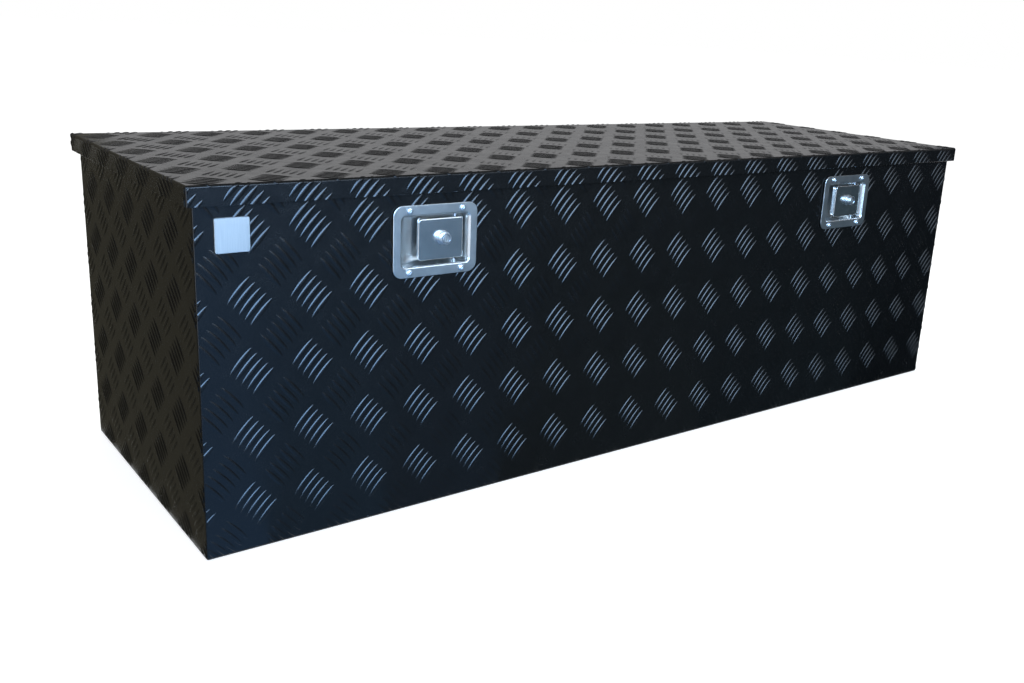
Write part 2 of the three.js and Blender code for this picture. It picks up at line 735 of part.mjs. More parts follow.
// A channel welded to the back of the dish, with two rails that keep the bolt off the dish.
function makeBoltGuide(side) {
  const inner = bolt.height / 2 + seat;
  const outer = inner + bolt.guideWall;
  const rail = inner - bolt.railHeight;
  const front = dishBack + seat;
  const innerBack = bolt.far + seat;
  const outerBack = innerBack + bolt.guideWall;
  const railBack = bolt.near - seat;
  const outline = new THREE.Shape();
  outline.moveTo(front, outer);
  outline.lineTo(front, rail);
  outline.lineTo(railBack, rail);
  outline.lineTo(railBack, inner);
  outline.lineTo(innerBack, inner);
  outline.lineTo(innerBack, -inner);
  outline.lineTo(railBack, -inner);
  outline.lineTo(railBack, -rail);
  outline.lineTo(front, -rail);
  outline.lineTo(front, -outer);
  outline.lineTo(outerBack, -outer);
  outline.lineTo(outerBack, outer);
  return meshFrom(`${side}_bolt_guide`, alongX(outline, bolt.guideStart, bolt.guideEnd), finishes.zincSteel);
}

function makeLockHousing(side) {
  const sides = 16;
  const ringFront = paddle.face - seat - lock.ringThick;
  const ringBack = paddle.face - seat;
  const body = turned('y', [
    [0, lock.front],
    [lock.barrelRadius, lock.front],
    [lock.barrelRadius, ringFront],
    [lock.ringRadius, ringFront],
    [lock.ringRadius, ringBack],
    [lock.rearRadius, ringBack],
    [lock.rearRadius, lock.rearEnd],
    [0, lock.rearEnd],
  ], sides);
  const bore = cylinder('y', lock.boreRadius, lock.front - overrun, lock.rearEnd + overrun, sides);
  const solid = body.subtract(bore).translate([lock.x, 0, lock.z]);
  return meshFrom(`${side}_lock_housing`, solid, finishes.chrome);
}

function makeLockNut(side) {
  const start = paddle.face + paddle.wall + seat;
  const nutSides = 6;
  const boreSides = 16;
  const end = start + lock.nutThick;
  const nut = cylinder('y', lock.nutRadius, start, end, nutSides);
  const bore = cylinder('y', lock.rearRadius + seat, start - overrun, end + overrun, boreSides);
  return meshFrom(`${side}_lock_nut`, nut.subtract(bore).translate([lock.x, 0, lock.z]), finishes.zincSteel);
}

function makeKeyPlug(side) {
  const sides = 16;
  const plugFront = lock.front + seat;
  const plugEnd = lock.rearEnd + seat;
  const camBack = plugEnd + seat + lock.camThick;
  const body = turned('y', [
    [0, plugFront],
    [lock.plugRadius, plugFront],
    [lock.plugRadius, plugEnd],
    [lock.stubRadius, plugEnd],
    [lock.stubRadius, camBack + lock.stubEnd],
    [0, camBack + lock.stubEnd],
  ], sides);
  const keyway = box([-lock.keywayWidth / 2, lock.keywayWidth / 2],
    [plugFront - overrun, plugFront + lock.keywayDepth], [-lock.keywayHeight / 2, lock.keywayHeight / 2]);
  return meshFrom(`${side}_key_plug`, body.subtract(keyway).translate([lock.x, 0, lock.z]), finishes.brass);
}

// The cam hangs straight down when the lock is off.
function makeLockCam(side) {
  const sides = 16;
  const start = lock.rearEnd + 2 * seat;
  const end = start + lock.camThick;
  const half = lock.camWidth / 2;
  const outline = new THREE.Shape();
  outline.moveTo(half, half);
  outline.lineTo(-half, half);
  outline.absarc(0, half - lock.camReach, half, Math.PI, 2 * Math.PI, false);
  const hole = cylinder('y', lock.stubRadius + seat, start - overrun, end + overrun, sides);
  const cam = alongY(outline, start, end).subtract(hole);
  return meshFrom(`${side}_lock_cam`, cam.translate([lock.x, 0, lock.z]), finishes.zincSteel);
}

function makeLatch(side, place) {
  const group = new THREE.Group();
  group.add(
    makeTray(side),
    makeGasket(side),
    ...makeTrayRivets(side),
    makePaddle(side),
    makePaddlePin(side),
    makePaddleSpring(side),
    makeBoltGuide(side),
    makeBolt(side),
    makeLockHousing(side),
    makeLockNut(side),
    makeKeyPlug(side),
    makeLockCam(side),
  );
  group.position.set(place, frontFace, latchHeight);
  return group;
}

// A striker hangs from the lid beside each bolt's nose, and its hook reaches round under the bolt.
const striker = {
  thick: 3,
  spine: 7,
  lip: 8,
  lipSetback: 2,
  frontPlay: 2.5,
  backPlay: 1.5,
  play: 0.8,
  foot: 16,
};

function makeStriker(side, place) {
  const left = place + bolt.nose + seat;
  const right = left + striker.thick;
  const front = frontFace + bolt.near - striker.frontPlay;
  const notchBack = frontFace + bolt.far + striker.backPlay;
  const back = notchBack + striker.spine;
  const notchTop = latchHeight + bolt.height / 2 + striker.play;
  const notchBottom = latchHeight - bolt.height / 2 - striker.play;
  const top = lidUnderside - seat;
  const outline = new THREE.Shape();
  outline.moveTo(front, top);
  outline.lineTo(front, notchTop);
  outline.lineTo(notchBack, notchTop);
  outline.lineTo(notchBack, notchBottom);
  outline.lineTo(front + striker.lipSetback, notchBottom);
  outline.lineTo(front + striker.lipSetback, notchBottom - striker.lip);
  outline.lineTo(back, notchBottom - striker.lip);
  outline.lineTo(back, top);
  const hook = alongX(outline, left, right);
  const foot = box([left - striker.foot, right], [front, back], [top - striker.thick, top]);
  return meshFrom(`${side}_striker`, hook.add(foot), finishes.zincSteel);
}

// Gas struts, one against each end wall

const strut = {
  fromWall: 24,
  anchorBeforePin: 30.5,
  anchorBelowPin: 72.5,
  pivotBeforePin: 180.5,
  pivotAbovePin: 1.5,
  openAngle: 75,
  ballRadius: 5,
  ballClearance: 0.6,
  neckRadius: 3,
  standoffRadius: 6,
  socketRadius: 8.5,
  socketThin: 5,
  socketThick: 8,
  shankRadius: 6.5,
  shankEnd: 22,
  tubeRadius: 9,
  tubeWall: 1.4,
  endWall: 4,
  endClearance: 3.6,
  glandLength: 8,
  rodRadius: 4,
  rodClearance: 0.6,
  pistonClearance: 0.6,
  pistonLength: 8,
  stopClearance: 2,
};
strut.anchorY = hinge.pinDepth - strut.anchorBeforePin;
strut.anchorZ = hinge.pinHeight - strut.anchorBelowPin;
strut.pivotY = hinge.pinDepth - strut.pivotBeforePin;
strut.pivotZ = hinge.pinHeight + strut.pivotAbovePin;
strut.pistonRadius = strut.tubeRadius - strut.tubeWall - strut.pistonClearance;

const bracket = {
  thick: 2.5,
  baseWidth: 36,
  baseHeight: 40,
  baseCorner: 5,
  standoffEnd: 7.5,
  legOffset: 18,
  legWidth: 20,
  legBelow: 10,
  flangeWidth: 30,
  flangeLength: 36,
};

// The lid's pivot turned about the hinge by the opening angle, as [y, z].
function openedPivot() {
  const angle = THREE.MathUtils.degToRad(strut.openAngle);
  const y = strut.pivotY - hinge.pinDepth;
  const z = strut.pivotZ - hinge.pinHeight;
  return [
    hinge.pinDepth + y * Math.cos(angle) + z * Math.sin(angle),
    hinge.pinHeight - y * Math.sin(angle) + z * Math.cos(angle),
  ];
}

const [openedY, openedZ] = openedPivot();
const strutClosed = Math.hypot(strut.pivotY - strut.anchorY, strut.pivotZ - strut.anchorZ);
const strutOpened = Math.hypot(openedY - strut.anchorY, openedZ - strut.anchorZ);
const strutStroke = strutOpened - strutClosed;
strut.tubeLength = strut.endWall + strut.endClearance + strutStroke + strut.pistonLength
  + strut.stopClearance + strut.glandLength;
const strutLean = Math.atan2(strut.anchorY - strut.pivotY, strut.pivotZ - strut.anchorZ);

// A ball socket about its ball's centre, with its shank along the strut. Its mouth faces openSide.
function ballSocket(openSide, shankDirection) {
  const sides = 12;
  const cup = cylinder('x', strut.socketRadius, -strut.socketThick, strut.socketThin, sides);
  const shank = cylinder('z', strut.shankRadius, 0, strut.shankEnd, sides);
  const hollowRadius = strut.ballRadius + strut.ballClearance;
  const hollow = cylinder('x', hollowRadius, -hollowRadius, strut.socketThin + overrun, sides);
  const solid = cup.add(shank).subtract(hollow);
  const facing = openSide > 0 ? solid : solid.mirror([1, 0, 0]);
  return shankDirection > 0 ? facing : facing.rotate([180, 0, 0]);
}

function makeStrutBodyBracket(side, sign) {
  const sides = 10;
  const wall = bodyLength / 2 - sheet - seat;
  const ballX = bodyLength / 2 - sheet - strut.fromWall;
  const plateFace = wall - bracket.thick;
  const standoffFace = ballX + bracket.standoffEnd;
  const base = roundedRectangle(bracket.baseWidth, bracket.baseHeight, bracket.baseCorner);
  const plate = alongX(base, plateFace, wall);
  const standoff = cylinder('x', strut.standoffRadius, standoffFace, plateFace + bracket.thick / 2, sides);
  const neck = cylinder('x', strut.neckRadius, ballX, standoffFace + bracket.thick, sides);
  const ballRings = 6;
  const sphere = new THREE.SphereGeometry(strut.ballRadius, sides, ballRings);
  const ball = solidFrom(sphere).translate([ballX, 0, 0]);
  const solid = plate.add(standoff).add(neck).add(ball);
  const facing = sign > 0 ? solid : solid.mirror([1, 0, 0]);
  return meshFrom(`${side}_strut_body_bracket`, facing.translate([0, strut.anchorY, strut.anchorZ]),
    finishes.zincSteel);
}

function makeStrutLidBracket(side, sign) {
  const sides = 10;
  const strutX = bodyLength / 2 - sheet - strut.fromWall;
  const legOuter = strutX - bracket.legOffset;
  const legInner = legOuter - bracket.thick;
  const top = lidUnderside - seat;
  const legBottom = strut.pivotZ - bracket.legBelow;
  const legY = [strut.pivotY - bracket.legWidth / 2, strut.pivotY + bracket.legWidth / 2];
  const flangeY = [strut.pivotY - bracket.flangeLength / 2, strut.pivotY + bracket.flangeLength / 2];
  const leg = box([legInner, legOuter], legY, [legBottom, top]);
  const flange = box([legInner, legInner + bracket.flangeWidth], flangeY, [top - bracket.thick, top]);
  const studEnd = strutX - strut.socketThin - seat;
  const stud = cylinder('x', strut.neckRadius, legOuter - bracket.thick / 2, studEnd, sides)
    .translate([0, strut.pivotY, strut.pivotZ]);
  const solid = leg.add(flange).add(stud);
  const facing = sign > 0 ? solid : solid.mirror([1, 0, 0]);
  return meshFrom(`${side}_strut_lid_bracket`, facing, finishes.zincSteel);
}

function makeStrutTube(side) {
  const sides = 12;
  const start = strut.shankEnd + seat;
  const end = start + strut.tubeLength;
  const bore = strut.tubeRadius - strut.tubeWall;
  const glandBore = strut.rodRadius + strut.rodClearance;
  const profile = [
    [0, start],
    [strut.tubeRadius, start],
    [strut.tubeRadius, end],
    [glandBore, end],
    [glandBore, end - strut.glandLength],
    [bore, end - strut.glandLength],
    [bore, start + strut.endWall],
    [0, start + strut.endWall],
  ];
  return meshFrom(`${side}_strut_tube`, turned('z', profile, sides), finishes.blackPaint);
}

function makeStrutRod(side) {
  const sides = 12;
  const tubeEnd = strut.shankEnd + seat + strut.tubeLength;
  const innerEnd = tubeEnd - strut.glandLength - strut.stopClearance - strut.pistonLength - strutStroke;
  const outerEnd = strutClosed - strut.shankEnd - seat;
  const profile = [
    [0, innerEnd],
    [strut.pistonRadius, innerEnd],
    [strut.pistonRadius, innerEnd + strut.pistonLength],
    [strut.rodRadius, innerEnd + strut.pistonLength],
    [strut.rodRadius, outerEnd],
    [0, outerEnd],
  ];
  return meshFrom(`${side}_strut_rod`, turned('z', profile, sides), finishes.chrome);
}

function makeStrut(side, sign) {
  const group = new THREE.Group();
  const lower = meshFrom(`${side}_strut_lower_socket`, ballSocket(sign, 1), finishes.plastic);
  const upper = meshFrom(`${side}_strut_upper_socket`, ballSocket(-sign, -1), finishes.plastic);
  upper.position.set(0, 0, strutClosed);
  group.add(lower, upper, makeStrutTube(side), makeStrutRod(side));
  group.position.set(sign * (bodyLength / 2 - sheet - strut.fromWall), strut.anchorY, strut.anchorZ);
  group.rotation.set(strutLean, 0, 0);
  return group;
}

// The whole chest

chest.add(
  makeBodyWrap(),
  makeEndPanel('left_end_panel', -1),
  makeEndPanel('right_end_panel', 1),
  makeRimSeal(),
  makeBadge(),
  makeLidPanel(),
  makeBodyLeaf(),
  makeLidLeaf(),
  makeHingePin(),
);

const outerRib = latchPlace + ribBeyondLatch;
for (let i = 0; i < ribCount; i += 1) {
  const place = 2 * outerRib * i / (ribCount - 1) - outerRib;
  chest.add(makeRib(`lid_rib_${i + 1}`, place));
}

for (const [side, place] of Object.entries(latchPlaces)) {
  chest.add(makeLatch(side, place), makeStriker(side, place));
}

for (const [side, sign] of [['left', -1], ['right', 1]]) {
  chest.add(makeStrutBodyBracket(side, sign), makeStrutLidBracket(side, sign), makeStrut(side, sign));
}

export default chest;
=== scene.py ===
# Looks of a low chest of black tread plate: a hinged lid, two flush paddle latches, a full-length
# hinge and two gas struts. Everything is in metres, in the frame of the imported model.
import itertools
import json
import math
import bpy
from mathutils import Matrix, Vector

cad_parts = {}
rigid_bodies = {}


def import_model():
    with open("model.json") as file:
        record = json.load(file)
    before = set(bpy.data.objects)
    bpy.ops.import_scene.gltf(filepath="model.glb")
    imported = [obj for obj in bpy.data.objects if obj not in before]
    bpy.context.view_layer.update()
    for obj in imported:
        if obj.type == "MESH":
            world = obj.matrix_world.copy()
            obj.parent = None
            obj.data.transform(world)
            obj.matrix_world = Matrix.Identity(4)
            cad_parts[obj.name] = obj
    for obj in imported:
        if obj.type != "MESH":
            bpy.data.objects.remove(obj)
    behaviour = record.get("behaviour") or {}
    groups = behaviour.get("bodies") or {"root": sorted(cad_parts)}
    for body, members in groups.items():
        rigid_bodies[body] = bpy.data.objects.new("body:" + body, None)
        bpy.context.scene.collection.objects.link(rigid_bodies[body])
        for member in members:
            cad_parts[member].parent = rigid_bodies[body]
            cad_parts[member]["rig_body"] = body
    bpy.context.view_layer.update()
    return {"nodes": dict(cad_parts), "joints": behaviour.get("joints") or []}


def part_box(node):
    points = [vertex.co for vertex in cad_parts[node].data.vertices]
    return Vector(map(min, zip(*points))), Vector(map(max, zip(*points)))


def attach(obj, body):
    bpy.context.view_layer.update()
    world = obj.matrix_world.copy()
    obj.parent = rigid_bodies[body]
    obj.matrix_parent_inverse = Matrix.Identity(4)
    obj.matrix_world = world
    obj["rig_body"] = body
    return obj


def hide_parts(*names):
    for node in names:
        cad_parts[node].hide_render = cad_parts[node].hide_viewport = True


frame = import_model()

from types import SimpleNamespace

import bmesh
import bpy
import numpy as np
from mathutils import Matrix, Vector

mm = 0.001
RIGHT_ANGLE = math.pi / 2


def in_mm(*values):
    """Sizes in millimetres as metres."""
    return [value * mm for value in values]


def sizes(**values):
    """Named sizes and pairs of sizes, given in millimetres."""
    return SimpleNamespace(**{name: in_mm(*value) if isinstance(value, tuple) else value * mm
                              for name, value in values.items()})


# Sizes shared by many pieces
SHEET = 2 * mm
FOLD_INNER = 1 * mm
FOLD_OUTER = FOLD_INNER + SHEET
SEAT = 0.3 * mm
RIM_WIDTH = 14 * mm
RIM_HEM = 10 * mm

BODY_LOW, BODY_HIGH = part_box("body_wrap")
LID_LOW, LID_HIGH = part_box("lid_panel")
HALF_LENGTH, HALF_DEPTH, RIM_TOP = BODY_HIGH
FRONT, BACK = BODY_LOW.y, BODY_HIGH.y
LID_HALF_X, LID_HALF_Y, LID_TOP = LID_HIGH
LID_UNDERSIDE = LID_TOP - SHEET
SKIRT_BOTTOM = LID_LOW.z
SIDES = {"left": -1, "right": 1}

# Places for what is drawn along Z: turns to another axis, and a shift
ALONG_X = Matrix.Rotation(RIGHT_ANGLE, 4, "Y")
ALONG_Y = Matrix.Rotation(-RIGHT_ANGLE, 4, "X")
move = Matrix.Translation

joint_list = {joint["name"]: joint for joint in frame["joints"]}
scene = bpy.context.scene


# Mesh helpers. Those that can be given a mesh add to it, and make a new one otherwise.

def circle(count):
    """The (cosine, sine) of equal steps round a full turn."""
    angles = [2 * math.pi * i / count for i in range(count)]
    return [(math.cos(angle), math.sin(angle)) for angle in angles]


def quarter_turn(steps):
    """Shares (along, across) of a quarter circle that starts along and ends across."""
    angles = [RIGHT_ANGLE * step / steps for step in range(steps + 1)]
    return [(math.sin(angle), 1 - math.cos(angle)) for angle in angles]


def rounded_rectangle(low, high, radius, steps=6, left_radius=None):
    """Points (a, b) round a rectangle with rounded corners, the same number for every size."""
    right = max(radius, 0.05 * mm)
    left = left_radius or right
    centres = [(high[0] - right, high[1] - right, right), (low[0] + left, high[1] - left, left),
               (low[0] + left, low[1] + left, left), (high[0] - right, low[1] + right, right)]
    points = []
    for quarter, (a, b, bend) in enumerate(centres):
        for step in range(steps + 1):
            angle = RIGHT_ANGLE * (quarter + step / steps)
            points.append((a + bend * math.cos(angle), b + bend * math.sin(angle)))
    return points


def bridge(loops, capped=True, bm=None):
    """Joins rings of equal size or of one point. Without caps the last ring joins the first."""
    bm = bm or bmesh.new()
    rings = [[bm.verts.new(point) for point in loop] for loop in loops]
    following = rings[1:] if capped else rings[1:] + rings[:1]
    for first, second in zip(rings, following):
        count = max(len(first), len(second))
        for i in range(count):
            j = (i + 1) % count
            corners = [ring[k % len(ring)] for ring, k in ((first, i), (first, j), (second, j), (second, i))]
            bm.faces.new(list(dict.fromkeys(corners)))
    for ring in (rings[0], rings[-1]) if capped else ():
        if len(ring) > 1:
            bm.faces.new(ring)
    return bm


def lathe(profile, place=Matrix.Identity(4), segments=32, bm=None):
    """A closed turned solid about Z. The profile holds [radius, height]; radius 0 ends it on the axis."""
    loops = []
    for radius, height in profile:
        spokes = circle(segments) if radius else [(0, 0)]
        loops.append([place @ Vector((radius * a, radius * b, height)) for a, b in spokes])
    return bridge(loops, profile[0][0] == 0, bm)


def closed_profile(radius, start, end, chamfer=0.0):
    """A turned profile from axis to axis, with its two rims chamfered."""
    if not chamfer:
        return [(0, start), (radius, start), (radius, end), (0, end)]
    return [(0, start), (radius - chamfer, start), (radius, start + chamfer), (radius, end - chamfer),
            (radius - chamfer, end), (0, end)]


def surface(points, faces):
    """A mesh of faces that name their points by number."""
    bm = bmesh.new()
    verts = [bm.verts.new(point) for point in points]
    for face in faces:
        bm.faces.new([verts[i] for i in face])
    return bm


def block(low, high, bevel=0.0, bm=None):
    """A box between two corners, with its edges rounded."""
    bm = bm or bmesh.new()
    size = [b - a for a, b in zip(low, high)]
    middle = [(a + b) / 2 for a, b in zip(low, high)]
    made = bmesh.ops.create_cube(bm, size=1, matrix=move(middle) @ Matrix.Diagonal((*size, 1)))
    if bevel:
        edges = list(dict.fromkeys(edge for vert in made["verts"] for edge in vert.link_edges))
        bmesh.ops.bevel(bm, geom=edges, offset=bevel, segments=2, profile=0.5, affect="EDGES")
    return bm


def object_of(name, bm, material=None):
    """A new object in the scene with this mesh and material."""
    mesh = bpy.data.meshes.new(name)
    bm.to_mesh(mesh)
    bm.free()
    if material:
        mesh.materials.append(material)
    made = bpy.data.objects.new(name, mesh)
    scene.collection.objects.link(made)
    return made


def cut(bm, cutter):
    """The first mesh with the second cut out of it."""
    for solid in (bm, cutter):
        bmesh.ops.recalc_face_normals(solid, faces=solid.faces)
    target, tool = object_of("temporary", bm), object_of("temporary", cutter)
    modifier = target.modifiers.new("cut", "BOOLEAN")
    modifier.operation = "DIFFERENCE"
    modifier.solver = "EXACT"
    modifier.object = tool
    result = bmesh.new()
    result.from_object(target, bpy.context.evaluated_depsgraph_get())
    for used in (target, tool):
        mesh = used.data
        bpy.data.objects.remove(used)
        bpy.data.meshes.remove(mesh)
    bmesh.ops.dissolve_degenerate(result, dist=1e-7, edges=result.edges)
    return result


# Pieces

def shade(bm, sharp_degrees):
    """Smooth faces, with a sharp edge wherever the surface turns by more than the limit."""
    bmesh.ops.recalc_face_normals(bm, faces=bm.faces)
    limit = math.radians(sharp_degrees)
    for face in bm.faces:
        face.smooth = True
    for edge in bm.edges:
        edge.smooth = not (len(edge.link_faces) == 2 and edge.calc_face_angle(0) > limit)


def weigh_normals(made):
    """Large flat faces keep their own normals, and only the small faces of a bend are shaded round."""
    modifier = made.modifiers.new("weigh", "WEIGHTED_NORMAL")
    modifier.keep_sharp = True
    mesh = bpy.data.meshes.new_from_object(made.evaluated_get(bpy.context.evaluated_depsgraph_get()))
    made.modifiers.clear()
    flat, made.data = made.data, mesh
    bpy.data.meshes.remove(flat)


def piece(name, bm, material, body, replaces=(), sharp_degrees=35, weighted=True):
    """Makes the mesh an object that rides on a body and stands for the CAD nodes it replaces."""
    shade(bm, sharp_degrees)
    made = object_of(name, bm, material)
    if weighted:
        weigh_normals(made)
    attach(made, body)
    if replaces:
        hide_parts(*replaces)


def stand_in(node, bm, material, sharp_degrees=35, place=Matrix.Identity(4)):
    """A piece that takes the place of one CAD node, on the same body."""
    bm.transform(place)
    body = frame["nodes"][node]["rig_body"]
    piece(f"{node}_finish", bm, material, body, [node], sharp_degrees)


def turned(node, profile, place, segments, material):
    """A stand-in that is one turned solid."""
    stand_in(node, lathe(profile, place, segments), material, 40)


def rounded_copy(node, material, bevel):
    """A CAD plate with its sharp edges rounded, in place of its node."""
    flat, folded = math.radians(1), math.radians(40)
    bm = bmesh.new()
    bm.from_mesh(frame["nodes"][node].data)
    bmesh.ops.remove_doubles(bm, verts=bm.verts, dist=1e-6)
    bmesh.ops.dissolve_limit(bm, angle_limit=flat, verts=bm.verts, edges=bm.edges)
    edges = [edge for edge in bm.edges if len(edge.link_faces) == 2 and edge.calc_face_angle(0) > folded]
    bmesh.ops.bevel(bm, geom=edges, offset=bevel, segments=2, profile=0.5, affect="EDGES",
                    clamp_overlap=True)
    stand_in(node, bm, material)


# Materials

def set_inputs(tree, node, inputs):
    """Links each input to a socket or sets it to a value."""
    for name, value in inputs.items():
        if isinstance(value, bpy.types.NodeSocket):
            tree.links.new(value, node.inputs[name])
        else:
            node.inputs[name].default_value = value


def add_node(tree, kind, inputs, operation=None):
    node = tree.nodes.new(f"ShaderNode{kind}")
    if operation:
        node.operation = operation
    set_inputs(tree, node, inputs)
    return node


def grain(tree, scale, detail=3.0, stretch=(1, 1, 1)):
    """Noise in the object's own coordinates, with a scale in repeats per metre."""
    spot = add_node(tree, "TexCoord", {}).outputs["Object"]
    spot = add_node(tree, "Mapping", {"Vector": spot, "Scale": stretch}).outputs["Vector"]
    inputs = {"Vector": spot, "Scale": scale, "Detail": detail, "Roughness": 0.55}
    return add_node(tree, "TexNoise", inputs).outputs["Fac"]


def finish(name, metallic, tint, gloss, relief, tint_span=(0.35, 0.65)):
    """A principled material that varies a little over the surface.

    Each row starts with its noise. Then tint has the darkest and the lightest colour, gloss has the least
    and the most roughness, and relief has the height and the strength of the bumps.
    """
    made = bpy.data.materials.new(name)
    made.use_nodes = True
    tree = made.node_tree
    tint_noise, dark, light = tint
    gloss_noise, least, most = gloss
    relief_noise, height, strength = relief
    noise_low, noise_high = 0.3, 0.7
    ramp = add_node(tree, "ValToRGB", {"Fac": grain(tree, *tint_noise)})
    for stop, place, color in zip(ramp.color_ramp.elements, tint_span, (dark, light)):
        stop.position = place
        stop.color = (*color, 1)
    spread = add_node(tree, "MapRange", {
        "Value": grain(tree, *gloss_noise), "From Min": noise_low, "From Max": noise_high, "To Min": least,
        "To Max": most})
    bump = add_node(tree, "Bump", {
        "Height": grain(tree, *relief_noise), "Distance": height, "Strength": strength})
    set_inputs(tree, tree.nodes["Principled BSDF"], {
        "Metallic": metallic, "Base Color": ramp.outputs["Color"], "Roughness": spread.outputs["Result"],
        "Normal": bump.outputs["Normal"]})
    return made


# Black powder coat with a fine orange peel
COAT = finish("powder_coat", 0, ((9, 5), (0.0032, 0.0034, 0.0037), (0.0038, 0.004, 0.0043)),
              ((45, 4), 0.22, 0.28), ((700, 2), 0.03 * mm, 0.4))


def rolled_steel(name, least, most):
    """Bright steel sheet, a little wavy."""
    return finish(name, 1, ((60,), (0.71, 0.7, 0.675), (0.77, 0.76, 0.73)), ((60,), least, most),
                  ((80, 2), 0.05 * mm, 0.35))


STEEL = rolled_steel("polished_steel", 0.19, 0.23)
TRAY_STEEL = rolled_steel("drawn_steel", 0.29, 0.33)

# Zinc plating of the inner works, the brackets and the hinge pin
ZINC = finish("zinc_plate", 1, ((160, 5), (0.44, 0.45, 0.46), (0.56, 0.575, 0.6)),
              ((300,), 0.32, 0.5), ((1200,), 0.01 * mm, 0.4))

# Brushed plate, with strokes that run upwards
BRUSH = (1500, 4, (1, 1, 0.02))
PLATE = finish("brushed_aluminium", 1, (BRUSH, (0.76, 0.75, 0.72), (0.86, 0.84, 0.8)),
               ((400, 3, (1, 1, 0.05)), 0.33, 0.36), (BRUSH, 0.02 * mm, 0.5), (0.3, 0.7))

# Satin rivets
RIVET = finish("satin_aluminium", 1, ((300,), (0.76, 0.8, 0.85), (0.84, 0.87, 0.91)),
               ((500,), 0.33, 0.4), ((1500,), 0.01 * mm, 0.3))

# Rubber of the seal and the gaskets
RUBBER = finish("seal_rubber", 0, ((120,), (0.015, 0.015, 0.016), (0.024, 0.024, 0.026)),
                ((200,), 0.65, 0.82), ((2500,), 0.03 * mm, 0.4))

# Gloss paint of the struts' tubes
PAINT = finish("strut_paint", 0, ((90,), (0.01, 0.01, 0.011), (0.016, 0.016, 0.018)),
               ((150,), 0.22, 0.34), ((900,), 0.02 * mm, 0.3))


def chrome(name, color, least, most):
    """Plating with a faint upright grain."""
    darker = tuple(0.93 * channel for channel in color)
    return finish(name, 1, ((200,), darker, color), ((350, 3, (1, 1, 0.3)), least, most),
                  ((1500,), 0.004 * mm, 0.3))


LOCK_CHROME = chrome("lock_chrome", (0.56, 0.57, 0.58), 0.3, 0.36)
ROD_CHROME = chrome("rod_chrome", (0.72, 0.74, 0.76), 0.05, 0.1)
PLUG_FACE = chrome("plug_nickel", (0.8, 0.79, 0.76), 0.3, 0.36)

# Moulded plastic of the struts' sockets
PLASTIC = finish("socket_plastic", 0, ((110,), (0.019, 0.019, 0.021), (0.028, 0.028, 0.03)),
                 ((300,), 0.44, 0.58), ((2200,), 0.02 * mm, 0.4))


# Raised bars of the tread plate. A bar is a ridge with pointed ends; five stand side by side in a group,
# and the groups lean one way and the other in turn on a rectangular lattice.

BAR_LENGTH = 42 * mm
BAR_WIDTH = 6.6 * mm
BAR_HEIGHT = 1 * mm
BAR_SINK = 0.1 * mm
BAR_TIP_HALF = 0.12 * mm
# The section across a bar: straight flanks up to the shoulders and a low dome between them.
BAR_SECTION = [(-1, 0), (-0.7, 0.68), (-0.5, 0.86), (-0.25, 0.97), (0, 1), (0.25, 0.97), (0.5, 0.86),
               (0.7, 0.68), (1, 0)]
BAR_ANGLE = math.radians(49)
BAR_STEP = (6.5 * mm, -7.1 * mm)
BARS_IN_GROUP = 5
SHORT_SPACING = 75 * mm
LONG_SPACING = 84.5 * mm
BAR_TAPER = 0.7

LATCH_X = {side: sum(p.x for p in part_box(f"{side}_latch_tray")) / 2 for side in SIDES}
LATCH_Z = sum(p.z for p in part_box("left_latch_rivet_1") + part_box("left_latch_rivet_2")) / 4
HOLE_X, HOLE_Z = in_mm(50.7, 34.2)
LATCH_HOLES = [((x - HOLE_X, LATCH_Z - HOLE_Z), (x + HOLE_X, LATCH_Z + HOLE_Z)) for x in LATCH_X.values()]


def bar_template(along_steps):
    """Points (along, across, height) of one bar on a grid, and its faces."""
    points = []
    for i in range(along_steps + 1):
        s = 2 * i / along_steps - 1
        share = (1 - s * s) ** BAR_TAPER
        half_width = BAR_TIP_HALF + (BAR_WIDTH / 2 - BAR_TIP_HALF) * share
        ridge = (BAR_HEIGHT + BAR_SINK) * share
        points += [(s * BAR_LENGTH / 2, across * half_width, ridge * up - BAR_SINK)
                   for across, up in BAR_SECTION]
    row = len(BAR_SECTION)
    cells = [i * row + k for i in range(along_steps) for k in range(row - 1)]
    faces = [[a, a + row, a + row + 1, a + 1] for a in cells]
    last = along_steps * row
    rim = list(range(0, last + 1, row)) + list(range(last + 1, last + row))
    rim += list(range(last - 1, 0, -row)) + list(range(row - 2, 0, -1))
    return np.array(points), faces + [rim[::-1]]


COARSE_BAR = bar_template(10)
FINE_BAR = bar_template(30)


